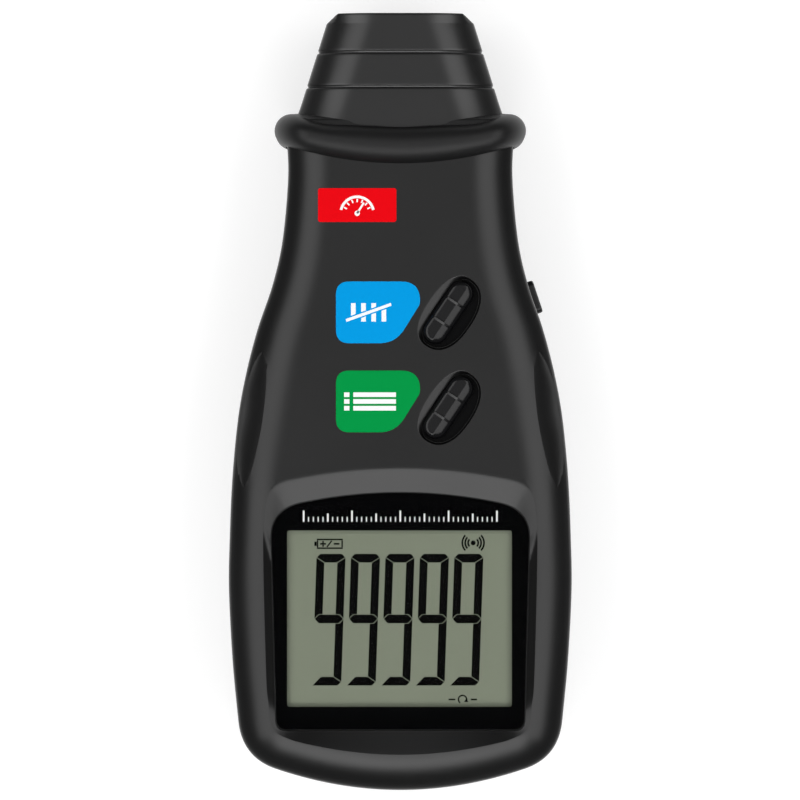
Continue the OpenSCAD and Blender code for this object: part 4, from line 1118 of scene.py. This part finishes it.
def digit_bars(x0):
    """The six lit bars of a 9 in upright form."""
    low, high = DIGIT_YS
    x1, mid, t, v, cut, gap = x0 + DIGIT_W, DIGIT_MID, LEVEL_T, UPRIGHT_T, DIGIT_CUT, DIGIT_GAP
    a, b, up, down = x0 + gap, x1 - gap, mid + t / 2, mid - t / 2
    bars = [
        [(a + cut, high), (b - cut, high), (b, high - cut), (b - v, high - t), (a + v, high - t)],
        [(a, mid), (a + v / 2, up), (b - v / 2, up), (b, mid), (b - v / 2, down), (a + v / 2, down)],
        [(a, low), (b - cut, low), (b, low + cut), (b - v, low + t), (a + v, low + t)],
    ]
    bars[0].append((a, high - cut))
    for x, way, end, rise in ((x0, 1, high, 1), (x1, -1, high, 1), (x1, -1, low, -1)):
        near = mid + rise * (t / 2 + gap)
        bars.append([
            (x, end - rise * (cut + gap)), (x + way * v, end - rise * (t + gap)), (x + way * v, near),
            (x + way * v / 2, near), (x, mid + rise * gap),
        ])
    return bars


def battery_sign():
    x0, y0, x1, y1 = BATTERY_SIGN
    y, edge, inner = (y0 + y1) / 2, SIGN_PEN / 2, 0.34
    outlines = [stroke((x0, v), (x1, v), SIGN_PEN) for v in (y0 + edge, y1 - edge)]
    outlines += [stroke((u, y0 + inner), (u, y1 - inner), SIGN_PEN) for u in (x0 + edge, x1 - edge)]
    outlines += [stroke((x0 - 0.5, y), (x0 - 0.05, y), 0.9), stroke((x0 + 0.7, y), (x0 + 1.9, y), inner)]
    outlines += [stroke((x0 + 1.3, y + v), (x0 + 1.3, y + v + 0.4), inner) for v in (0.2, -0.6)]
    outlines.append(stroke((x0 + 2.1, y0 + 0.4), (x0 + 3.1, y1 - 0.4), 0.28))
    outlines.append(stroke((x1 - 1.9, y), (x1 - 0.7, y), inner))
    return outlines


def beam_sign(c):
    """A dot with three arcs on each side."""
    return [circle(0.5, 20, c)] + [
        arc_stroke(c, r, 0.36, a - 44, a + 44) for r in (1.05, 1.65, 2.25) for a in (0, 180)
    ]


def turn_sign(x, y):
    """Most of a circle with an arrow head, between two level marks."""
    outlines = [arc_stroke((x, y), 0.85, SIGN_PEN, -30, 235)]
    outlines.append([(x + 0.3, y - 0.5), (x + 1.25, y - 0.55), (x + 0.75, y + 0.2)])
    return outlines + [stroke((x + u, y), (x + v, y), 0.32) for u, v in ((-2.9, -1.5), (1.7, 3.0))]


def lcd_marks():
    lean = tan(radians(DIGIT_LEAN))
    outlines = []
    for i in range(DIGITS):
        for bar in digit_bars(DIGIT_X + DIGIT_PITCH * i):
            outlines.append([(x + (y - DIGIT_MID) * lean, y) for x, y in bar])
    outlines += battery_sign() + beam_sign(BEAM_SIGN) + turn_sign(*TURN_SIGN)
    return flat_marks("display_marks", outlines, *MARK_ZS)


def window_ticks():
    outlines = []
    for x in range(-TICKS, TICKS + 1):
        h = 2.3 if x % 10 == 0 else 1.7 if x % 5 == 0 else 1.0
        outlines.append(stroke((x, TICK_Y), (x, TICK_Y + h), 0.34 if x % 5 == 0 else 0.22))
    return flat_marks("window_marks", outlines, *TICK_ZS)


# Labels
LABEL_Z = BODY_T + 0.15
TOTAL_Y = 18.4
MEMORY_Y = 0.0
BADGE_AT = (-8.9, 40.56)
BADGE = (16.2, 7.0)


def rounded_outline(points, radii, steps=8):
    """Polygon with each corner rounded to its own radius."""
    out = []
    n = len(points)
    for i in range(n):
        p = np.array(points[i], float)
        a, b = np.array(points[i - 1], float), np.array(points[(i + 1) % n], float)
        u, v = (a - p) / np.linalg.norm(a - p), (b - p) / np.linalg.norm(b - p)
        half = acos(max(-1, min(1, float(np.dot(u, v))))) / 2
        cut = radii[i] / tan(half)
        out += [tuple(bezier([p + u * cut, p, p + v * cut], k / steps)) for k in range(steps + 1)]
    return out


def label(name, outline):
    x, y = np.mean(np.array(outline), axis=0)
    top = [(x + (p[0] - x) * 0.994, y + (p[1] - y) * 0.994) for p in outline]
    return stack(name, [(outline, BODY_T), (outline, LABEL_Z - 0.04), (top, LABEL_Z)])


def key_label(name, y):
    left, right, low, high = -13.3, 4.09, y - 6.39, y + 6.39
    outline = [(left, low), (right - 5.07, low), (right, low + 8.12), (right, high), (left, high)]
    return label(name, rounded_outline(outline, [2.8, 6.1, 2.2, 3.9, 2.75]))


def label_marks(name, outlines):
    return flat_marks(name, outlines, LABEL_Z, LABEL_Z + 0.02)


def tally_marks(y):
    """Four upright strokes and one across them, cut apart where they would cross."""
    slope, w, gap, reach_y = 0.36, 0.95, 0.62, 1.9
    across = lambda x: y + (x + 6.55) * slope
    outlines = []
    for x in (-9.7, -7.6, -5.5, -3.4):
        for up in (-1, 1):
            near, far = across(x) + up * gap, y + up * reach_y
            if (far - near) * up > 0.15:
                outlines.append([
                    (x - w / 2, far), (x + w / 2, far), (x + w / 2, near + slope * w / 2),
                    (x - w / 2, near - slope * w / 2),
                ])
    outlines.append(stroke((-11.2, across(-11.2)), (-1.9, across(-1.9)), 0.6))
    return label_marks("total_marks", outlines)


def list_marks(y):
    runs = ((-11.6, -10.5), (-9.7, -0.9))
    return label_marks("memory_marks", [
        stroke((a, y + 1.4 * k), (b, y + 1.4 * k), 0.95) for k in (-1, 0, 1) for a, b in runs
    ])


def dial_marks(x, y):
    c = np.array((x, y - 1.7))
    ray = lambda angle, r0, r1, w: stroke(*(turned([(r, 0)], angle, c)[0] for r in (r0, r1)), w)
    outlines = [arc_stroke(c, 3.4, 0.55, 12, 168, 40)]
    outlines += [ray(a, 2.3, 3.0, 0.3) for a in range(24, 157, 22)]
    return label_marks("badge_marks", outlines + [ray(58, 0, 2.6, 0.4), circle(0.55, 20, c)])


# Battery. Its stops have their place along Y and the growth of the section
BATTERY = ((26.5, 17.5), 2.0)
BATTERY_Z = 10.95
BATTERY_STOPS = [
    (-68.2, -1.1), (-68.2, -0.5), (-68.0, -0.08), (-67.7, 0), (-34.0, 0), (-34.0, -0.06), (-33.9, -0.06),
    (-33.9, 0), (-20.2, 0), (-19.9, -0.08), (-19.7, -0.5), (-19.7, -1.1),
]
POLE_X, POLE_Y = 7.5, -24.5
BATTERY_MARK_ZS = (2.175, 2.2)


def battery():
    return bar_y("battery_can", BATTERY, BATTERY_STOPS, BATTERY_Z)


def battery_signs():
    signs = [stroke((x - 1.6, POLE_Y), (x + 1.6, POLE_Y), 0.6) for x in (-POLE_X, POLE_X)]
    signs += [stroke((POLE_X, POLE_Y + v), (POLE_X, POLE_Y + v + 1.28), 0.6) for v in (-1.6, 0.32)]
    signs += [stroke((-13, y), (13, y), 1.0) for y in (-32.2, -64.5)]
    return flat_marks("battery_signs", signs, *BATTERY_MARK_ZS)


# Build and dress the pieces
dress(front_shell(), CASE, "case", ["front_case"], 17)
dress(back_shell(), CASE, "case", ["rear_case"])
dress(door(), CASE, "door", ["battery_door"])
dress(nose(), NOSE, "case", ["nose_cone"], 34)
dress(bead(), BEAD, "case", ["collar_ring"], 40)
dress(filter_pane(), FILTER, "case", ["front_filter"])
KEYS = [("total", KEY_PLACES[0]), ("memory", KEY_PLACES[1])]
for word, centre in KEYS:
    dress(key(word + "_key_cap", centre), KEY, word + "_button", [word + "_key"], 34)
dress(side_key(), SIDE_KEY, "measure_button", ["measure_key"])
# Dark sheets of painted shade in the bottom of the key hollows
for word, centre in KEYS:
    dress(hollow_shade_sheet(word + "_key_hollow_shade", centre), KEY_HOLLOW_SHADE, "case")
pane_piece = dress(window_pane(), WINDOW, "case", ["display_window"])
pane_piece.data.materials.append(CLEAR)
for face in pane_piece.data.polygons:
    face.material_index = 0 if face.normal.z > 0.2 else 1
dress(window_mask(), PRINT, "case")
dress(window_ticks(), WHITE, "case")
dress(lcd_panel(), LCD, "case", ["lcd_cell"])
dress(lcd_marks(), SEGMENT, "case")
dress(key_label("total_film", TOTAL_Y), BLUE, "case", ["total_label"], 60)
dress(key_label("memory_film", MEMORY_Y), GREEN, "case", ["memory_label"], 60)
badge = label("badge_film", round_rect(*BADGE, 0.5, centre=BADGE_AT))
dress(badge, RED, "case", ["badge_label"], 60)
for marks in (tally_marks(TOTAL_Y), list_marks(MEMORY_Y), dial_marks(*BADGE_AT)):
    dress(marks, WHITE, "case")
dress(battery(), SLEEVE, "case", ["battery"])
dress(battery_signs(), WHITE, "case")

NODE_FINISHES = [
    (WHITE_PLASTIC, "lcd_frame total_plunger memory_plunger measure_plunger"),
    (CHIP, "total_switch memory_switch measure_switch controller_chip board_link photo_sensor battery_snap"),
    (STEEL, "quartz_crystal board_screws case_screws optics_screws laser_diode"),
    (STEEL, "battery_terminals snap_contacts"),
    (BOARD, "main_board sensor_board"), (LENS, "laser_lens collecting_lens"),
    (WIRE, "laser_leads battery_leads"),
    (STRIP, "contact_strips"), (CAN, "board_capacitors"), (INNER, "optics_holder"), (BRASS, "laser_barrel"),
]
for finish, names in NODE_FINISHES:
    for name in names.split():
        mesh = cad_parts[name].data
        mesh.materials.clear()
        mesh.materials.append(finish)


# Stage, light and camera
FLOOR_GLOW = 0.63
FLOOR_SIZE = 9.0
FLOOR_Z = -0.0002
WORLD_LEVEL = 0.13
AIM = (0, 0, 0.02)
# Name, place, size in metres and power in watts
SOFTBOXES = [
    ("softbox_left", (-0.64, 0.0, 1.02), (1.4, 0.7), 7.8),
    ("softbox_right", (0.64, 0.0, 1.02), (1.4, 0.7), 7.8),
    ("softbox_front", (0.0, -0.7, 1.02), (0.8, 0.5), 5.8),
    ("softbox_top", (0.0, 0.25, 2.2), (1.1, 1.3), 2.5),
]
SENSOR_W = 36
CAMERA_DISTANCE = 1.6
VIEW_W = 0.16628
CAMERA_AT = (-0.00006, 0.0003, 0.025 + CAMERA_DISTANCE)


def floor():
    """White floor that glows for the camera, in mirrors and through panes, but lights nothing else."""
    s = FLOOR_SIZE
    corners = [(*p, FLOOR_Z) for p in ((-s, -s), (s, -s), (s, s), (-s, s))]
    obj = make_object("studio_floor", corners, [(0, 1, 2, 3)], 1.0)
    mat, tree, bsdf = shader("studio_white", (0.45, 0.45, 0.45), 0.9, gloss=0.0)
    path = add_node(tree, "LightPath")
    seen = path.outputs["Is Camera Ray"]
    for other in ("Is Glossy Ray", "Is Transmission Ray"):
        both = add_node(tree, "Math")
        both.operation = "MAXIMUM"
        tree.links.new(seen, both.inputs[0])
        tree.links.new(path.outputs[other], both.inputs[1])
        seen = both.outputs[0]
    glow = add_node(tree, "Math")
    glow.operation = "MULTIPLY"
    glow.inputs[1].default_value = FLOOR_GLOW
    tree.links.new(seen, glow.inputs[0])
    bsdf.inputs["Emission Color"].default_value = (1, 1, 1, 1)
    tree.links.new(glow.outputs[0], bsdf.inputs["Emission Strength"])
    obj.data.materials.append(mat)


def softbox(name, at, size, power):
    light = bpy.data.lights.new(name, "AREA")
    light.shape = "RECTANGLE"
    light.size, light.size_y = size
    light.energy = power
    way = Vector(AIM) - Vector(at)
    put_in_scene(name, light, at).rotation_euler = way.to_track_quat("-Z", "Y").to_euler()


floor()
for row in SOFTBOXES:
    softbox(*row)
world = bpy.data.worlds.new("studio")
bpy.context.scene.world = world
world.use_nodes = True
fill(world.node_tree.nodes["Background"], {"Color": (1, 1, 1, 1), "Strength": WORLD_LEVEL})
cam = bpy.data.cameras.new("camera")
cam.sensor_width = SENSOR_W
cam.lens = SENSOR_W * CAMERA_DISTANCE / VIEW_W
cam.clip_start, cam.clip_end = 0.05, 20
bpy.context.scene.camera = put_in_scene("camera", cam, CAMERA_AT)
bpy.context.scene.view_settings.view_transform = "Standard"
